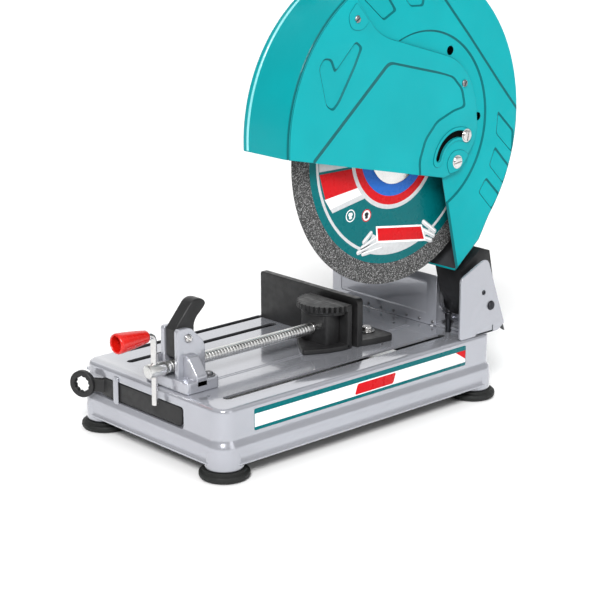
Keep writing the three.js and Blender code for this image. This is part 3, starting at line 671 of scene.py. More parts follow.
y0, y1, z0, z1 = -193, 188, 57, 85
white_rear, white_low, white_high = y1 - 0.6, z0 + 4.4, z1 - 6.6
wall_patch(oblong(y0, y1, z0, z1, 2.5), INK_TEAL, "label_teal_ground", 0)
wall_patch(oblong(y0 + 0.6, white_rear, white_low, white_high, 0.8), INK_WHITE, "label_white_band", 1)
plate_edge = rounded([(-22, 62.8), (48, 62.8), (53, 76.8), (-17, 76.8)], 3)
wall_patch(plate_edge, INK_RED, "label_red_plate", 2)
wedge = [(168, white_high), (white_rear, z0 + 9), (white_rear, white_high)]
wall_patch(wedge, INK_RED, "label_red_wedge", 2)


# ---- bolts


def hex_bolt(node, name, body, head_r, seat, shank_r, washer=0.0, finish=DARK):
    """A bolt with its washer and its domed hexagon head, from its node's foot to its node's top."""
    centre = middle(node)
    low, top = (corner.z for corner in span(node))
    dome = [(0, top - 0.7), (head_r * 0.84, top - 0.7), (head_r * 0.78, top), (0, top)]
    parts = [
        plate("z", [circle(centre.x, centre.y, head_r, 6)], seat + washer, top - 0.6, 0.25, 1),
        turned("z", centre.x, centre.y, dome, 32),
        disc("z", centre.x, centre.y, shank_r, low, seat + 1, 0.4, count=24),
    ]
    if washer:
        parts.append(disc("z", centre.x, centre.y, head_r + 3, seat, seat + washer, 0.3, count=40))
    piece(join(*parts), name, body, finish, [node])


ON_SHEET, ON_CASTING, ON_FENCE = 97.2, 108.4, 101.9  # the heights that the bolts' heads sit at
for side in ("left", "right"):
    hex_bolt(f"bracket_bolt_{side}", f"bracket_bolt_{side}_hex", "base", 5.6, ON_SHEET, 3, 1.0)
    hex_bolt(f"vice_bolt_{side}", f"vice_bolt_{side}_hex", "base", 5.6, ON_CASTING, 3, 1.0)
hex_bolt("fence_pivot_bolt", "fence_pivot_bolt_hex", "base", 7.6, ON_FENCE, 4, 1.4, BRIGHT)
hex_bolt("fence_clamp_bolt", "fence_clamp_bolt_hex", "fence_arm", 7.6, ON_FENCE, 4, 1.4)
hex_bolt("depth_stop_bolt", "depth_stop_hex", "base", 4.9, 112.5, 3.9, finish=BLUED)

# ---- spark plate


def spark_plate():
    low, high = span("spark_plate")
    sheet = 1.5
    outline = oblong(low.x, high.x, low.z + 0.8, high.z, 3)
    upright = plate("y", [outline], low.y, low.y + sheet, 0.5)
    foot = box(low.x, 58, low.y, high.y, low.z, low.z + sheet, 0.4)
    panel = plate("y", [oblong(-118, 54, 108, 156, 4)], low.y - 1.2, low.y + 0.9, 1.1, 1)
    boolean(upright, [panel])
    return join(upright, foot)


def spark_plate_rivets():
    face = span("spark_plate")[0].y
    proud = ((0, -0.4), (2.4, -0.4), (2.4, 0.3), (1.8, 1.0), (0.8, 1.3), (0, 1.3))
    dome = [(r, face - out) for r, out in proud]
    return join(*(turned("y", -61 + 25.4 * i, 98.5, dome, 24) for i in range(6)))


piece(spark_plate(), "spark_plate_sheet", "base", SILVER, ["spark_plate"])
piece(spark_plate_rivets(), "spark_plate_rivets", "base", DARK, ())

# ---- pivot bracket and hinge


STOP = middle("stop_screw")
BRACKET_LOW, BRACKET_HIGH = span("pivot_bracket")
CHEEK = 3.5


def cheek(outline, x0, holes):
    return plate("x", [rounded(outline, 4)] + holes, x0, x0 + CHEEK, 0.7, 2)


def pivot_bracket():
    """One sheet bent into two cheeks and the floor between them."""
    x0, x1 = BRACKET_LOW.x, BRACKET_HIGH.x
    near = [(176, STANDING, 5), (176, 180, 7), (228, 202, 12), (266.4, 102, 2), (254, STANDING, 3)]
    far = [(207, STANDING, 1), (207, 158, 5), (228, 172, 6), (244, 172, 7), (272, 88, 3), (262, STANDING, 1)]
    shaft_hole = circle(HINGE.y, HINGE.z, 6.2, 32)
    stop_hole = circle(STOP.y, STOP.z, 3.2, 24)
    return join(
        cheek(near, x1 - CHEEK, [shaft_hole, stop_hole]),
        cheek(far, x0, [shaft_hole]),
        box(x0, x1, 207, 243.5, STANDING, STANDING + 3.4, 0.6),
        box(x0, x1, 240, 243.5, STANDING, 104, 0.6),
    )


def rear_lip():
    edge = rounded([(246, 94), (255, 112), (262.6, 112), (271.4, 88.4), (262, 94)], 1)
    return plate("x", [edge], BRACKET_HIGH.x - 6, BRACKET_HIGH.x - 3.4, 0.4)


def pivot_shaft():
    """The shaft, with a groove near its right end for a retaining ring."""
    low, high = (corner.x for corner in span("pivot_shaft"))
    groove = [(6, high - 2.6), (5.2, high - 2.4), (5.2, high - 1.6), (6, high - 1.4)]
    profile = [(0, low), (5.2, low), (6, low + 0.8)] + groove + [(6, high - 0.7), (5.3, high), (0, high)]
    return turned("x", HINGE.y, HINGE.z, profile, 48)


def stop_screw():
    """A set screw with a socket in its right end."""
    low, high = (corner.x for corner in span("stop_screw"))
    socket = [(1.2, high), (1.2, high - 1.4), (0, high - 1.4)]
    profile = [(0, low), (2.4, low), (3, low + 0.6), (3, high - 0.6), (2.5, high)] + socket
    return turned("x", STOP.y, STOP.z, profile, 32)


def torsion_spring():
    coils, count, x0, length, radius = 3.2, 240, 68.7, 8.6, 25
    points = []
    for i in range(count + 1):
        t = i / count
        turn = 2 * math.pi * coils * t
        points.append((x0 + length * t, HINGE.y + radius * math.cos(turn), HINGE.z + radius * math.sin(turn)))
    return sweep(points, 1.3, 12)


piece(pivot_bracket(), "pivot_bracket_sheet", "base", SILVER, ["pivot_bracket"])
# The rear lip gets the dark painted shade colour.
piece(rear_lip(), "pivot_bracket_rear_lip", "base", SHADE_DARK, ())
piece(pivot_shaft(), "pivot_shaft_steel", "base", BLUED, ["pivot_shaft"])
piece(stop_screw(), "stop_screw_steel", "base", BLUED, ["stop_screw"])
piece(torsion_spring(), "torsion_spring_coil", "base", DARK, ["torsion_spring"], 50)

# ---- vice


CRANK_Y = -255
JAW_Y = 40  # the middle of the jaw's half-disc
PIN_HOLE = circle(LEVER.y, LEVER.z, 5.2, 32)


def vice_bracket():
    """Two cheeks on a thick floor, ribs on their left and a gusset on their right."""
    outline = [(-231, 100, 1), (-231, 170, 5), (-210, 170, 6), (-187, 146, 9), (-187, 100, 1)]
    parts = [plate("x", [rounded(outline, 4), PIN_HOLE], x, x + 7, 0.9, 3) for x in (8, 35)]
    parts.append(plate("z", [oblong(-18, 68, -238, -185, 7)], STANDING, 108, 1.2, 3))
    left_rib = rounded([(9, 134, 1), (9, 100, 1), (-14, 100, 1), (-14, 110, 3), (-2, 120, 5), (3, 131, 4)], 3)
    parts += [plate("y", [left_rib], y, y + 6, 0.9) for y in (-236, -193)]
    gusset = rounded([(41, 136, 1), (50, 136, 3), (68, 114, 3), (68, 100, 1), (41, 100, 1)], 2)
    parts.append(plate("y", [gusset], -222, -205, 1.4, 3))
    return join(*parts)


def lever_pin():
    """The lever's pin, with a dimple in its right end."""
    low, high = (corner.x for corner in span("lever_pin"))
    dimple = [(3.6, high), (2.6, high - 0.4), (2.3, high - 2.4), (0, high - 2.6)]
    profile = [(0, low), (4.4, low), (5, low + 0.6), (5, high - 1.2), (4.4, high - 0.2)] + dimple
    return turned("x", LEVER.y, LEVER.z, profile, 40)


def vice_lever():
    """The quick-release lever: a thumb blade above a round hub that sits between the cheeks."""
    swing = 27.8
    front, rear, shoulder = -229, -198, 168
    angles = [-math.degrees(math.acos((y - LEVER.y) / swing)) for y in (rear, front)]
    points = [(front, shoulder), (-203, 198)] + bend((-203, 198), (-199, 202), (-192, 202))
    points += bend((-192, 202), (-180, 201), (-179, 194)) + bend((-179, 194), (-180, 190), (-190, 182))
    points += bend((-190, 182), (-197, 176), (rear, shoulder))
    points += arc(LEVER.y, LEVER.z, swing, *angles, 6)
    return plate("x", [points, PIN_HOLE], 15.5, 34.5, 2.0, 4)


def on_screw(profile, count):
    return turned("y", SCREW.x, SCREW.z, profile, count)


def screw_thread():
    """A trapezoidal thread, which runs out at both ends."""
    lead, root, crest = 5.0, 7.25, 7.8
    front, rear, along, count = -238.0, 2.0, 0.5, 36
    crest_half, flank = 0.1, 0.14
    rings = []
    for i in range(int((rear - front) / along) + 1):
        y = front + i * along
        fade = min(1.0, (y - front) / 4, (rear - y) / 4)
        ring = []
        for j in range(count):
            phase = (y / lead - j / count) % 1.0
            height = min(1.0, max(0.0, (abs(phase - 0.5) - crest_half) / flank)) if fade > 0 else 0
            radius = crest - (crest - root) * (1 - height) * fade
            ring.append(about("y", SCREW.x, SCREW.z, radius, 2 * math.pi * j / count, y))
        rings.append(ring)
    return grid_mesh(rings)


def vice_screw():
    """The thread from its hub to its plain end, and the neck that the jaw turns on."""
    hub = on_screw([(0, -266), (7.2, -266), (8.6, -265.2), (9, -264), (9, -242), (8.4, -240.6), (7, -240),
                    (0, -240)], 64)
    neck = on_screw([(0, 1.5), (7.6, 1.5), (7.6, 7.6), (7, 8), (3.5, 8), (3.5, 22), (5.6, 22), (6, 22.5),
                     (6, 24.5), (5.5, 25), (0, 25)], 48)
    boolean(hub, [disc("z", SCREW.x, CRANK_Y, 4.2, SCREW.z - 20, SCREW.z + 20, 0.1, count=32)])
    pin = disc("x", -247, SCREW.z, 1.6, SCREW.x - 9.15, SCREW.x + 9.15, 0.3, count=20)
    return join(hub, screw_thread(), neck, pin)


def crank_rod():
    """A rod up through the hub, bent forward into the axle of its grip."""
    low, top, turn = span("crank_rod")[0].z, 166, 10
    straight = top - turn
    path = [(CRANK_Y, low + (straight - low) * i / 8) for i in range(9)]
    path += bend((CRANK_Y, straight), (CRANK_Y, top), (CRANK_Y - turn, top), 10)
    path += [(y, top) for y in (-275, -285, -293)]
    return sweep([(SCREW.x, y, z) for y, z in path], 3.95, 28)


def crank_grip():
    """A tapered grip, hollow from its front end."""
    outside = [(4.7, -265.6), (7, -265.6), (7.8, -266.4), (8.4, -269), (9.2, -274), (10.4, -282),
               (11.6, -292), (12.5, -301), (13, -308), (12.9, -311), (12.2, -312.6), (11, -313)]
    inside = [(10.2, -312.4), (9.9, -310.5), (9.5, -298), (8.8, -296.4), (4.7, -296)]
    return turned("y", GRIP.x, GRIP.z, outside + inside, 72, closed=True)


def jaw_collar():
    low, high = (corner.y for corner in span("jaw_collar"))
    return disc("y", SCREW.x, SCREW.z, 7.5, low, high, 0.6, inner=4.1)


def jaw_teeth():
    """The outline of the toothed half-disc on top of the jaw."""
    teeth, valley, tip = 18, 39, 42
    outline = []
    for i in range(teeth):
        for r, t in ((valley, i / teeth), (tip, (i + 0.3) / teeth), (tip, (i + 0.7) / teeth)):
            angle = -math.pi * t
            outline.append((SCREW.x + r * math.cos(angle), JAW_Y + r * math.sin(angle)))
    return outline + [(SCREW.x - valley, JAW_Y)]


def vice_jaw():
    foot = [(-16, 46), (-16, 20), (8, 2), (19, -7), (45, -24), (60, 6), (66, 30), (66, 46)]
    trunk = [(-1, 39), (-1, 14), (8, 12), (42, 12), (51, 14), (51, 39)]
    body = plate("z", [rounded(trunk, 5)], SLIDING, 148, 1.0)
    boolean(body, [
        plate("y", [circle(SCREW.x, SCREW.z, 4.3, 32)], 5, 24, 0.1),
        box(SCREW.x - 7, SCREW.x + 7, 21.5, 26, 85, SCREW.z + 7, 0.1),
        box(3, 17, 16, 34, 85, 143, 1.0),
        box(33, 47, 16, 34, 85, 143, 1.0),
    ])
    return join(
        body,
        plate("y", [oblong(-16, 66, SLIDING, 154, 2)], 38, 46, 0.8),
        plate("z", [jaw_teeth()], 146, 154, 0.5, 1),
        plate("z", [arc(SCREW.x, JAW_Y, 36, -180, 0)], 140, 147, 1.5, 2),
        plate("z", [rounded(foot, 5)], SLIDING, 100, 0.8),
        disc("y", SCREW.x, SCREW.z, 11, 11.98, 16, 0.6, inner=4.3),
    )


piece(vice_bracket(), "vice_bracket_casting", "base", SILVER, ["vice_bracket"])
piece(lever_pin(), "lever_pin_steel", "base", BRIGHT, ["lever_pin"])
piece(vice_lever(), "vice_lever_casting", "lever", BLACK_IRON, ["vice_lever"], 40)
piece(vice_screw(), "vice_screw_thread", "screw", SCREW_STEEL, ["vice_screw"], 40)
piece(jaw_collar(), "jaw_collar_ring", "jaw_slide", BRIGHT, ["jaw_collar"])
piece(crank_rod(), "crank_rod_steel", "screw", BRIGHT, ["crank_rod"], 50)
piece(crank_grip(), "crank_grip_red", "grip", RED, ["crank_grip"], 50)
piece(vice_jaw(), "vice_jaw_casting", "jaw_slide", BLACK_IRON, ["jaw"])

# ---- fence


def fence():
    """A face plate with a pivot flange on its right, a clamp foot on its left, and ribs behind."""
    on_foot = (FENCE_FOOT, ON_FENCE - 0.4, 1.0)
    edge = rounded([(-128, FENCE_FOOT, 2), (68, FENCE_FOOT, 2), (68, 160.5, 7), (-128, 160.5, 4)], 3)
    flange = [(-20, 60), (68, 60), (73, 80), (77, 111), (70, 117), (24, 117), (-20, 80)]
    foot = [(-112, 60), (-72, 60), (-72, 86), (-112, 86)]
    tall_rib = rounded([(63, 100, 1), (92, 100, 2), (66, 150, 6), (63, 150, 1)], 2)
    left_rib = rounded([(63, 94, 1), (84, 94, 2), (84, 100, 3), (66, 150, 6), (63, 150, 1)], 2)
    return join(
        plate("y", [edge], 54, 64, 1.0, 3),
        plate("z", [rounded(flange, 5), circle(FENCE_PIVOT.x, FENCE_PIVOT.y, 4.2, 32)], *on_foot),
        plate("z", [rounded(foot, 8), circle(FENCE_CLAMP.x, FENCE_CLAMP.y, 4.2, 32)], *on_foot),
        plate("x", [tall_rib], 8, 13, 1.2),
        *(plate("x", [left_rib], x, x + 4, 1.0) for x in (-70, -116)),
    )


piece(fence(), "fence_casting", "fence_arm", BLACK_IRON, ["fence"])

# ---- wrench and its clip


def wrench():
    """A flat bar, a cranked link, and a ring with a twelve-point star for its hole."""
    radii = [10.0 if i % 2 else 11.4 for i in range(24)]
    star = [(r * math.cos(math.pi * i / 12), r * math.sin(math.pi * i / 12)) for i, r in enumerate(radii)]
    ring = placed(plate("y", [circle(0, 0, 18, 64), star], -4, 4, 1.4, 3), "Z", 22, (-124, -258, 66))
    edge = [(-104, 56, 2), (-96, 53, 8), (64, 53, 9), (64, 78, 9), (-96, 78, 8), (-104, 75, 2)]
    bend_edge = [(-96, -244), (-96, -239.2), (-104, -239.4), (-117, -249), (-113.5, -255)]
    flat_bar = plate("y", [rounded(edge, 3)], -244, -239, 1.3, 3)
    return join(flat_bar, ring, plate("z", [rounded(bend_edge, 1.5)], 57, 75, 1.6, 3))


def wrench_clip():
    low, high = span("wrench_clip")
    strap = plate("y", [oblong(low.x, high.x, low.z, high.z, 2.5)], low.y, high.y, 0.4)
    return join(strap, disc("y", (low.x + high.x) / 2, 82.5, 2.6, low.y - 1.1, low.y + 0.4, 0.9, count=32))


piece(wrench(), "wrench_steel", "wrench_tool", BLACK_IRON, ["wrench"])
piece(wrench_clip(), "wrench_clip_strap", "base", SILVER, ["wrench_clip"])

# ---- wheel guard

FRONT_EDGE, REAR_EDGE = 182.7, -40.2
LOWER_CORNER, TAIL, TAIL_REAR = (147, 321), (179, 189), (223.5, 224.4)
RECESS = 1.9  # how deep the panels of the guard and the cover are pressed
CLAMP_SWING, CLAMP_ARC = 37, (63.4, 166)  # the cover's slot: its radius and its two ends


def guard_outline(radius, sheet=0.0, below=0.0):
    """The guard's side view; with a sheet it is the hollow inside it, which runs on below the open edge."""
    along = (Vector(TAIL_REAR) - Vector(TAIL)).normalized()
    inward = Vector((-along.y, along.x)) * sheet
    rear = Vector(TAIL_REAR) + inward
    tail = Vector(TAIL) + inward - along * below
    points = [tuple(rear)] + arc(*GUARD, radius, REAR_EDGE, FRONT_EDGE, 2.5)
    if below:
        points += [(GUARD[0] - GUARD_R, GUARD[1] - 60), (LOWER_CORNER[0] - below, TAIL[1])]
    else:
        points += [LOWER_CORNER]
    return points + [tuple(tail)]


def sunk(surface, floor, face):
    """A cutter for a pressed panel in a face across X: the outline on the surface, and a smaller one on its
    floor that has as many points."""
    levels = ((face + 6, surface), (face, surface), (face - RECESS, floor))
    return grid_mesh([[(x, y, z) for y, z in outline] for x, outline in levels])


def pressed(points, face, radius, slope, steep=()):
    """A pressed panel: its corners are rounded, and every edge slopes in by the slope or, for the edges
    named in steep, by their own width. Edge i runs from point i to the next."""
    flat = [Vector(p[:2]) for p in points]
    area = sum(flat[i - 1].x * p.y - p.x * flat[i - 1].y for i, p in enumerate(flat))
    sign = 1 if area > 0 else -1
    widths = [dict(steep).get(i, slope) for i in range(len(flat))]
    inner = []
    for i in range(len(flat)):
        lines = []
        for j in (i - 1, i):
            start, end = flat[j], flat[(j + 1) % len(flat)]
            along = (end - start).normalized()
            inward = Vector((-along.y, along.x)) * sign
            lines.append((start + inward * widths[j], along))
        (p0, d0), (p1, d1) = lines
        cross = d0.x * d1.y - d0.y * d1.x
        if abs(cross) < 0.05:
            inner.append((*p1, *points[i][2:]))
            continue
        reach = ((p1 - p0).x * d1.y - (p1 - p0).y * d1.x) / cross
        inner.append((*(p0 + d0 * reach), *points[i][2:]))
    return sunk(rounded(points, radius), rounded(inner, radius), face)


PANELS = (
    [(252, 398), (286, 367), (286, 334), (249.5, 367)],
    [(248.4, 350), (281, 318), (269, 294), (237.5, 325)],
    [(232.5, 310), (263, 281), (247, 262), (217.5, 291.3)],
    [(-3, 566), (34, 535.5), (56.5, 546.7), (28, 584)],
    [(58, 574), (81, 549), (104.5, 548), (109, 576)],
)


def dark_inside(body):
    """Paints shade on the guard's faces that look towards its middle or towards the spindle: they get the
    dark colour.
    """
    for face in body.data.polygons:
        place, normal = local_face(face), face.normal
        from_middle = place.x - (GUARD_LOW.x + GUARD_HIGH.x) / 2
        outward = (place.yz - WHEEL.yz).normalized()
        across = normal.x * from_middle < -0.5 * abs(from_middle)
        if across or (abs(normal.x) < 0.5 and normal.yz.dot(outward) < -0.3):
            face.material_index = 1


def wheel_guard():
    """Two pressed cheeks and the rim between them, as one hollow shell that is open below."""
    x0, x1, sheet = GUARD_LOW.x, GUARD_HIGH.x, 2.5
    body = plate("x", [guard_outline(GUARD_R)], x0, x1, 4.5, 5)
    hollow = plate("x", [guard_outline(GUARD_R - sheet, sheet, 30)], x0 + sheet, x1 - sheet, 2.5, 3)
    opening = arc(*GUARD, 196, 122, 186)
    opening += [(-107, 300), (112, 290), (116, 330), (136, 400), (136, 452), (100, 480), (55, 494), (8, 512)]
    boss = [arc(107, 396, radius, -78, 112, 4) for radius in (122, 119.5)]
    rim = [(140, 555.2), (192.5, 500), (254.5, 432), (296, 388), (340, 388), (340, 640), (140, 640)]
    cutters = [
        hollow,
        plate("x", [opening], x1 - 6, x1 + 6, 0.1),
        disc("x", WHEEL.y, WHEEL.z, 27, x0 - 6, x0 + 8, 0.1),
        sunk(*boss, x1),
        pressed(rim, x1, 0, 0.5, ((0, 5), (1, 5), (2, 5))),
    ]
    cutters += [pressed(panel, x1, 4, 2.2, ((3, 3.2),)) for panel in PANELS]
    for y, z, radius in ((157.7, 487.2, 6.2), (214, 394.7, 5.6)):
        cutters.append(disc("x", y, z, radius, x1 - 8, x1 + 8, 0.1, count=32))
    for cutter in cutters:
        boolean(body, [cutter])
    body.data.materials.append(GUARD_TEAL)
    body.data.materials.append(SHADE_DARK)
    dark_inside(body)
    return body


def guard_bead():
    """The rolled edge that stands out of the rim, along the outside of the near cheek."""
    x = 57
    edge = arc(*GUARD, GUARD_R - 0.3, REAR_EDGE + 1, FRONT_EDGE - 0.5, 2)
    return sweep([(x, y, z) for y, z in edge], 1.9, 12)


def slot_shade_sheet():
    """A near-black sheet behind the cover's slot: painted shade seen through the slot."""
    gap = 0.05
    slot = arc_slot(*COVER_PIVOT.yz, CLAMP_SWING, 6.5, *CLAMP_ARC)
    return plate("x", [slot], GUARD_HIGH.x + gap, COVER_LOW.x - gap, 0.05)


piece(wheel_guard(), "wheel_guard_shell", "head", GUARD_TEAL, ["wheel_guard"], 13)
# The bead's lighter teal is a painted highlight.
piece(guard_bead(), "wheel_guard_bead", "head", BEAD_TEAL_PAINTED_HIGHLIGHT, ())
piece(slot_shade_sheet(), "cover_slot_shade_sheet", "head", SLOT_SHADE, ())


def cover_outline():
    """The cover's side view: the guard's rim in front, and a soft corner round the clamp slot."""
    lower, knee, rear, shoulder, notch = (158, 324), (208.5, 388), (148, 482), (55.1, 509.5), (12.8, 532.2)
    points = arc(*GUARD, 209, 119.5, FRONT_EDGE, 2.5) + [(145, 321.8), lower]
    points += bend(lower, (207, 344), knee, 14) + bend(knee, (203, 464), rear, 14)
    return points + [shoulder] + bend(shoulder, (28, 516), notch, 8)


def side_cover():
    """The swinging cover: a sheet with two pressed panels, and raised lands at its slot and its screws."""
    face = COVER_HIGH.x
    pivot = COVER_PIVOT.yz
    slot_hole = arc_slot(*pivot, CLAMP_SWING, 4.4, *CLAMP_ARC)
    pivot_hole = circle(*pivot, 4.3, 32)
    arrow = [(-16.5, 516), (-5, 507), (-17.6, 483), (-43.5, 443), (-54.3, 433), (-66, 440), (-78.5, 488.7),
             (-70, 500), (-57, 498), (-50.5, 483)]
    panel = [(-87.4, 377, 0), (40.5, 485.5, 9), (134.8, 462.5, 14), (161, 454), (179, 436), (185.5, 411),
             (163, 407.5), (132.2, 396.8), (111.8, 376.2), (101.6, 349.9), (103.9, 322, 0), (100, 300, 0),
             (-87, 300, 0)]
    lug_edge = [(193, 347), (180, 356, 8), (160, 356, 10), (149, 341, 10), (156, 325, 4), (176, 328, 6)]
    tab_edge = [(-16, 563, 4), (-31, 548, 8), (-26, 530, 9), (-6, 527, 8), (6, 538, 4)]
    sheet = plate("x", [cover_outline(), slot_hole, pivot_hole], COVER_LOW.x, face, 0.9, 3)
    boolean(sheet, [pressed(arrow, face, 5, 2.2)])
    boolean(sheet, [pressed(panel, face, 6, 2.2, ((0, 6.5), (1, 3)))])
    lands = [
        ([arc_slot(*pivot, CLAMP_SWING, 9.5, 60, 170), slot_hole], 1.0, 1.0),
        ([rounded(lug_edge, 4), pivot_hole], 0.9, 0.9),
        ([rounded(tab_edge, 6), circle(-14.9, 542.2, 2.3, 20)], 0.8, 0.8),
    ]
    return join(sheet, *(plate("x", loops, face - 0.3, face + rise, edge) for loops, rise, edge in lands))


def slotted_screw(node, body, head_r, shank_r, slot_angle, washer):
    """A cheese-head screw across X, with a plain washer if that has a thickness."""
    low, high = span(node)
    y, z = middle(node).yz
    seat = COVER_HIGH.x + 0.3
    foot = seat + washer - 0.2
    profile = [(0, foot), (head_r, foot), (head_r, high.x - 1.0), (head_r - 0.7, high.x - 0.3),
               (head_r - 2, high.x), (0, high.x)]
    head = turned("x", y, z, profile, 48)
    slot = plate("x", [oblong(-20, 20, -1.1, 1.1, 0.2, 1)], high.x - 1.7, high.x + 3, 0.1)
    boolean(head, [placed(slot, "X", slot_angle, (0, y, z))])
    parts = [head, disc("x", y, z, shank_r, low.x, seat + 0.5, 0.3, count=28)]
    if washer:
        parts.append(disc("x", y, z, head_r + 1.8, seat, seat + washer, 0.3, count=48))
    finish = BRIGHT if washer else SCREW_GREY
    piece(join(*parts), f"{node}_slotted", body, finish, [node])


piece(side_cover(), "side_cover_sheet", "cover", COVER_TEAL, ["side_cover"], 13)
slotted_screw("cover_pivot_screw", "head", 7.2, 3.9, 8, 1.2)
slotted_screw("cover_clamp_screw", "head", 7.2, 3.9, 80, 1.2)
slotted_screw("cover_screw_top", "cover", 4.6, 1.9, 35, 0)
slotted_screw("cover_screw_rear", "cover", 4.6, 1.9, 60, 0)

# ---- wheel and its flanges


def on_wheel(radius, low, high, edge, inner=0.0, count=96):
    return disc("x", WHEEL.y, WHEEL.z, radius, low, high, edge, inner, count)


FACE = WHEEL_HIGH.x
wheel = on_wheel(WHEEL_R, WHEEL_LOW.x, FACE, 0.4, 12.7, 180)
piece(wheel, "abrasive_wheel", "spindle_set", GRIT, ["abrasive_disc"])


def wheel_print(loops, ink, name, level):
    """A flat print on the wheel's near face; higher levels lie over lower ones."""
    film = 0.03
    low = FACE + 0.01 + film * level
    print_film = plate("x", loops, low, low + film, 0.005, 1)
    piece(print_film, f"wheel_label_{name}", "spindle_set", ink, ())


def ring_loops(outer, inner):
    return [circle(WHEEL.y, WHEEL.z, outer, 144), circle(WHEEL.y, WHEEL.z, inner, 96)]


def polar(radius, degrees):
    """A point on the wheel's face."""
    a = math.radians(degrees)
    return (WHEEL.y + radius * math.cos(a), WHEEL.z + radius * math.sin(a))


def bar(y, z, length, width, degrees):
    """A round-ended stroke of the label's artwork, by its middle."""
    half, r = length / 2 - width / 2, width / 2
    lean = math.radians(degrees)
    along = (half * math.cos(lean), half * math.sin(lean))
    far = arc(y + along[0], z + along[1], r, degrees - 90, degrees + 90, 30)
    return far + arc(y - along[0], z - along[1], r, degrees + 90, degrees + 270, 30)


def patch(*corners):
    """An outline from [radius, degrees] corners round the wheel."""
    return [polar(radius, degrees) for radius, degrees in corners]


for outline, ink, name, level in (
    (ring_loops(150, 13.5), INK_TEAL, "teal", 0),
    (ring_loops(138.5, 134.5), INK_SILVER, "ring", 1),
    ([patch((133.5, 179), (71, 182), (70, 190), (133.5, 185))], INK_SILVER, "top_bar", 1),
    ([patch((133, 201), (63, 217), (66, 235), (129, 211.5))], INK_SILVER, "silver_bar", 1),
    ([patch((133.5, 186.5), (70, 192.5), (59, 221), (131.5, 201.5))], INK_RED, "red_panel", 2),
    ([patch((131.5, 201.5), (59, 221), (62, 230), (130, 208.5))], INK_WHITE, "white_panel", 3),
    (ring_loops(78, 72), INK_SILVER, "inner_ring", 4),
    (ring_loops(72.2, 60.5), INK_RED, "red_ring", 5),
    (ring_loops(61, 44), INK_BLUE, "blue_ring", 6),
):
    wheel_print(outline, ink, name, level)
for i, (radius, degrees, edge_ink, ground_ink, sign_ink) in enumerate((
    (109, -136, INK_WHITE, INK_TEAL, INK_WHITE),
    (94, -122, INK_RED, INK_WHITE, INK_BLACK),
)):
    y, z = polar(radius, degrees)
    badge = f"badge_{i + 1}"
    inner_edge = circle(y, z, 6.8, 40)
    wheel_print([circle(y, z, 8.2, 40), inner_edge], edge_ink, f"{badge}_rim", 3)
    wheel_print([inner_edge], ground_ink, f"{badge}_ground", 2)
    wheel_print([bar(y, z + 1.4, 7.5, 5.2, 0)], sign_ink, f"{badge}_hat", 4)
    wheel_print([bar(y, z - 2.6, 5.4, 3.4, 0)], sign_ink, f"{badge}_chin", 4)
dome = arc(WHEEL.y, WHEEL.z, 137, -112, -68, 3) + arc(WHEEL.y + 3, WHEEL.z - 40, 78, -58, -122, 3)
wheel_print([dome], INK_SILVER, "dome", 2)
for i, (y, z, length, lean) in enumerate((
    (38, 250, 42, 20), (34, 243, 46, 12), (40, 237, 40, 4), (31, 256, 22, 38),
    (140, 246, 40, -28), (146, 252, 34, -36), (134, 239, 40, -22),
)):
    wheel_print([bar(y, z, length, 6.4, lean)], INK_SILVER, f"rod_{i + 1}", 3)
    wheel_print([bar(y, z + 0.8, length - 3, 1.4, lean)], INK_WHITE, f"rod_{i + 1}_gleam", 4)
plaque = [(46, 268.5), (132, 257), (140, 233.5), (48, 246)]
wheel_print([plaque], INK_WHITE, "plaque_edge", 5)
inset = [(48.6, 265.6), (130, 254.7), (136.6, 236.6), (50.4, 248.4)]
wheel_print([inset], INK_RED, "plaque", 6)


def outer_flange():
    low, high = (corner.x for corner in span("outer_flange"))
    return turned("x", WHEEL.y, WHEEL.z, [
        (4.6, low), (44, low), (45, low + 0.8), (45, low + 2), (43.5, low + 3), (30, high - 1.4), (27, high),
        (4.6, high)], 96, closed=True)


def inner_flange():
    low, high = (corner.x for corner in span("inner_flange"))
    return turned("x", WHEEL.y, WHEEL.z, [
        (12.7, low), (24, low), (25, low + 5), (40, low + 8), (45, low + 10), (45, high), (12.7, high)],
        96, closed=True)


def arbor_bolt():
    """A hexagon head, its washer and its shank."""
    low, high = (corner.x for corner in span("arbor_bolt"))
    washer, under_head = 114.3, 115.6
    head = plate("x", [circle(WHEEL.y, WHEEL.z, 9, 6)], under_head, high, 0.6, 2)
    return join(head, on_wheel(12.5, washer, under_head + 0.1, 0.4), on_wheel(3.9, low, 116, 0.3))


piece(outer_flange(), "outer_flange_steel", "spindle_set", BRIGHT, ["outer_flange"])
piece(inner_flange(), "inner_flange_steel", "spindle_set", BRIGHT, ["inner_flange"])
piece(arbor_bolt(), "arbor_bolt_hex", "spindle_set", BRIGHT, ["arbor_bolt"])

# ---- head castings, motor, handle

for node, kind, finish, slot_name, bevel in (
    ("head_arm", "casting", HEAD_BLACK, "head_casting", 1.2),
    ("gear_case_cover", "casting", HEAD_BLACK, "head_casting", 0.8),
    ("brush_cap_front", "moulded", BLACK, "black_plastic", 0.8),
    ("brush_cap_rear", "moulded", BLACK, "black_plastic", 0.8),
    ("switch_body", "moulded", BLACK, "black_plastic", 0.5),
    ("handle_screw_lower", "steel", DARK, "dark_steel", 0.3),
    ("handle_screw_upper", "steel", DARK, "dark_steel", 0.3),
    ("cord_inlet", "rubber", RUBBER, "black_rubber", 0.4),
    ("spindle_bearing", "steel", BRIGHT, "bright_steel", 0.3),
    ("motor_bearing", "steel", BRIGHT, "bright_steel", 0.3),
    ("field_core", "windings", COPPER, "windings", 0.8),
):
    piece(refined(node, bevel), f"{node}_{kind}", "head", finish, [node])

CASE_SCREWS = ((78.7, 415.5), (36, 391), (36, 340), (78.7, 315.5), (110, 330), (140, 418), (147, 388))


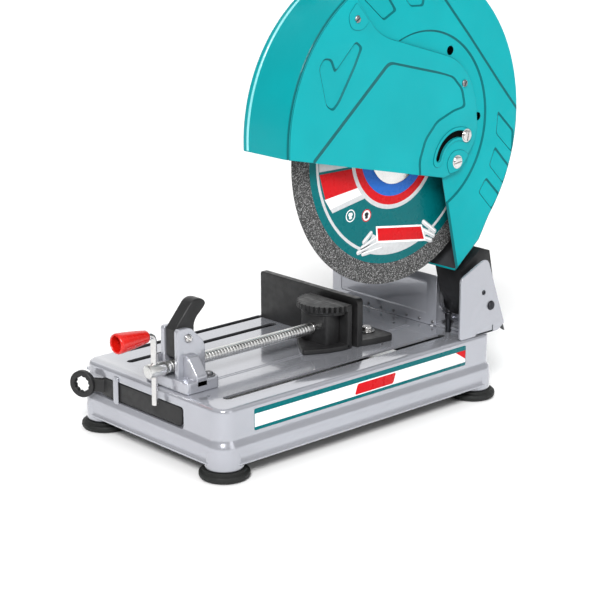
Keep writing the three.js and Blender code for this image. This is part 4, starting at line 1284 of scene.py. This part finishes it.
def case_screws():
    """Socket screws in the face of the gear case."""
    face = span("gear_case_cover")[0].x
    profile = [(0, face + 1), (4.2, face + 1), (4.2, face - 1.6), (3.6, face - 2.3),
               (2.2, face - 2.3), (2.2, face - 0.6), (0, face - 0.6)]
    return join(*(turned("x", y, z, profile, 24) for y, z in CASE_SCREWS))


piece(case_screws(), "gear_case_screws", "head", DARK, ())

for node, body, finish, slot_name in (
    ("spindle", "spindle_set", BRIGHT, "bright_steel"),
    ("ring_gear", "spindle_set", BRIGHT, "bright_steel"),
    ("armature", "armature_set", COPPER, "windings"),
    ("drive_pinion", "armature_set", BRIGHT, "bright_steel"),
    ("cooling_fan", "armature_set", BLACK, "black_plastic"),
    ("trigger", "trigger_key", RED, "red_plastic"),
    ("spindle_lock_button", "lock_button", RED, "red_plastic"),
):
    piece(refined(node, 0.4), f"{node}_finished", body, finish, [node])


MOTOR_R = 50


def on_motor(profile):
    return turned("x", MOTOR.y, MOTOR.z, profile, 96)


def motor_housing():
    """A barrel with ribs round it, a saddle under the handle, and two bosses for the through bolts."""
    low, high = (corner.x for corner in span("motor_housing"))
    r = MOTOR_R
    shell = on_motor([(0, low), (r - 0.8, low), (r, low + 0.8), (r, high - 10), (r - 1.5, high - 6),
                      (r - 1.5, high - 1), (r - 2.5, high), (0, high)])
    inside = on_motor([(0, low - 3), (r - 3, low - 3), (r - 3, 2), (0, 2)])
    boolean(shell, [inside, disc("x", MOTOR.y, MOTOR.z, 13.3, -10, 20, 0.1)])
    ribs = []
    for i in range(7):
        x = low + 22 + 9 * i
        ribs.append(disc("x", MOTOR.y, MOTOR.z, r + 0.1, x, x + 2.4, 0.6, inner=r - 2, count=96))
    saddle = box(-36, 6, 84, 126, MOTOR.z + 34, 450.6, 2.0, 3)
    bosses = [disc("x", MOTOR.y + side, MOTOR.z - 34, 4.9, low, high, 0.5, count=32) for side in (-40, 40)]
    return join(shell, saddle, *bosses, *ribs)


def motor_end_cap():
    """A cap with a ring of vents and a hub for the rear bearing."""
    low, high = (corner.x for corner in span("motor_end_cap"))
    r, vents = MOTOR_R, 24
    cap = on_motor([(0, low), (r - 12, low), (r - 6, low + 1.4), (r - 2, low + 5), (r, low + 11),
                    (r, high - 0.6), (r - 0.6, high), (r - 3, high), (r - 3, low + 12), (r - 9, low + 4),
                    (0, low + 4)])
    cutters = []
    for i in range(vents):
        vent = plate("x", [oblong(18, 36, -1.3, 1.3, 1.2, 3)], low - 4, low + 9, 0.1)
        cutters.append(placed(vent, "X", 360 * i / vents, (0, MOTOR.y, MOTOR.z)))
    boolean(cap, cutters)
    hub = disc("x", MOTOR.y, MOTOR.z, 12, low - 0.02, low + 16, 1.2, inner=6.3)
    return join(cap, hub)


piece(motor_housing(), "motor_housing_teal", "head", GUARD_TEAL, ["motor_housing"])
piece(motor_end_cap(), "motor_end_cap_moulded", "head", BLACK, ["motor_end_cap"])


def handle_half(x0, x1):
    """Half of the loop handle: its grip, the finger hole, and the hollows for the switch and its lead."""
    outline = [(84, 451, 2), (126, 451, 2), (133, 520, 20), (135, 645, 14), (105, 650, 12), (0, 650, 15),
               (-40, 646, 14), (-40, 566, 12), (60, 560, 16), (84, 530, 14)]
    fingers = oblong(-16, 88, 588, 622, 14)
    body = plate("x", [rounded(outline, 4), fingers], x0, x1, 5, 4)
    boolean(body, [box(-28, -2, -6, 23, 600, 641, 0.3), box(-28, -2, 22, 62, 627, 645, 0.3)])
    return body


for node, x0, x1 in (("handle_left", -32, -15.15), ("handle_right", -14.85, 2)):
    piece(handle_half(x0, x1), f"{node}_moulded", "head", BLACK, [node])

# ---- stage, light and camera

def stage_floor():
    """A pale floor that runs out past the horizon, just under the feet."""
    reach, top = 60000, -0.3
    floor = grid_mesh([[(-reach, y, top), (reach, y, top)] for y in (-reach, reach)], False, False)
    floor.name = "floor"
    material, tree, bsdf = shader("pale_floor", (0.95, 0.95, 0.95), 0.9)
    shades = ramp(tree, noise(tree, 3, 2), (0.945, 0.945, 0.945), (0.96, 0.96, 0.96))
    tree.links.new(shades, bsdf.inputs["Base Color"])
    floor.data.materials.append(material)
    return floor


stage_floor()

SKY = ((0.0, 0.46), (0.12, 0.36), (0.35, 0.24), (0.52, 0.52), (0.9, 0.60))  # by the sine of the height
LIT_PANEL = ((0.72, 0.0), (0.9, 0.8))  # a lit panel behind on the left, by how near a direction is to it
world = bpy.data.worlds.new("studio")
bpy.context.scene.world = world
world.use_nodes = True
sky = world.node_tree
direction = shader_node(sky, "TexCoord", {}).outputs["Generated"]
height = shader_node(sky, "SeparateXYZ", {"Vector": direction}).outputs["Z"]
panel_way = (-0.70, 0.62, 0.35)
toward = shader_node(sky, "VectorMath", {0: direction, 1: panel_way}, operation="DOT_PRODUCT")
light = blend(sky, "ADD", steps(sky, height, SKY), steps(sky, toward.outputs["Value"], LIT_PANEL))
sky.links.new(light, sky.nodes["Background"].inputs["Color"])

key = new_object(bpy.data.lights.new("key", "SUN"), "key")
key.data.energy = 3.2
key.data.angle = math.radians(20)
key.rotation_euler = Vector((0.52, -0.58, 0.63)).to_track_quat("Z", "Y").to_euler()

fill = new_object(bpy.data.lights.new("fill", "AREA"), "fill")
fill.data.shape = "RECTANGLE"
fill.data.size, fill.data.size_y = 1.0, 1.4
fill.data.energy = 6
fill.location = (2.4, 0.2, 0.9)
saw_middle = Vector((0, 0, 0.3))
fill.rotation_euler = (saw_middle - fill.location).to_track_quat("-Z", "Y").to_euler()

camera = new_object(bpy.data.cameras.new("camera"), "camera")
camera.data.lens = 105.67
camera.data.sensor_width = 36
right, up, back = (0.6751, 0.7377, 0), (-0.2043, 0.1870, 0.9608), (0.7088, -0.6487, 0.2770)
aim = Matrix((right, up, back)).transposed().to_4x4()
camera.matrix_world = Matrix.Translation((1.6733, -1.5092, 0.8071)) @ aim
bpy.context.scene.camera = camera
bpy.context.scene.view_settings.view_transform = "Standard"
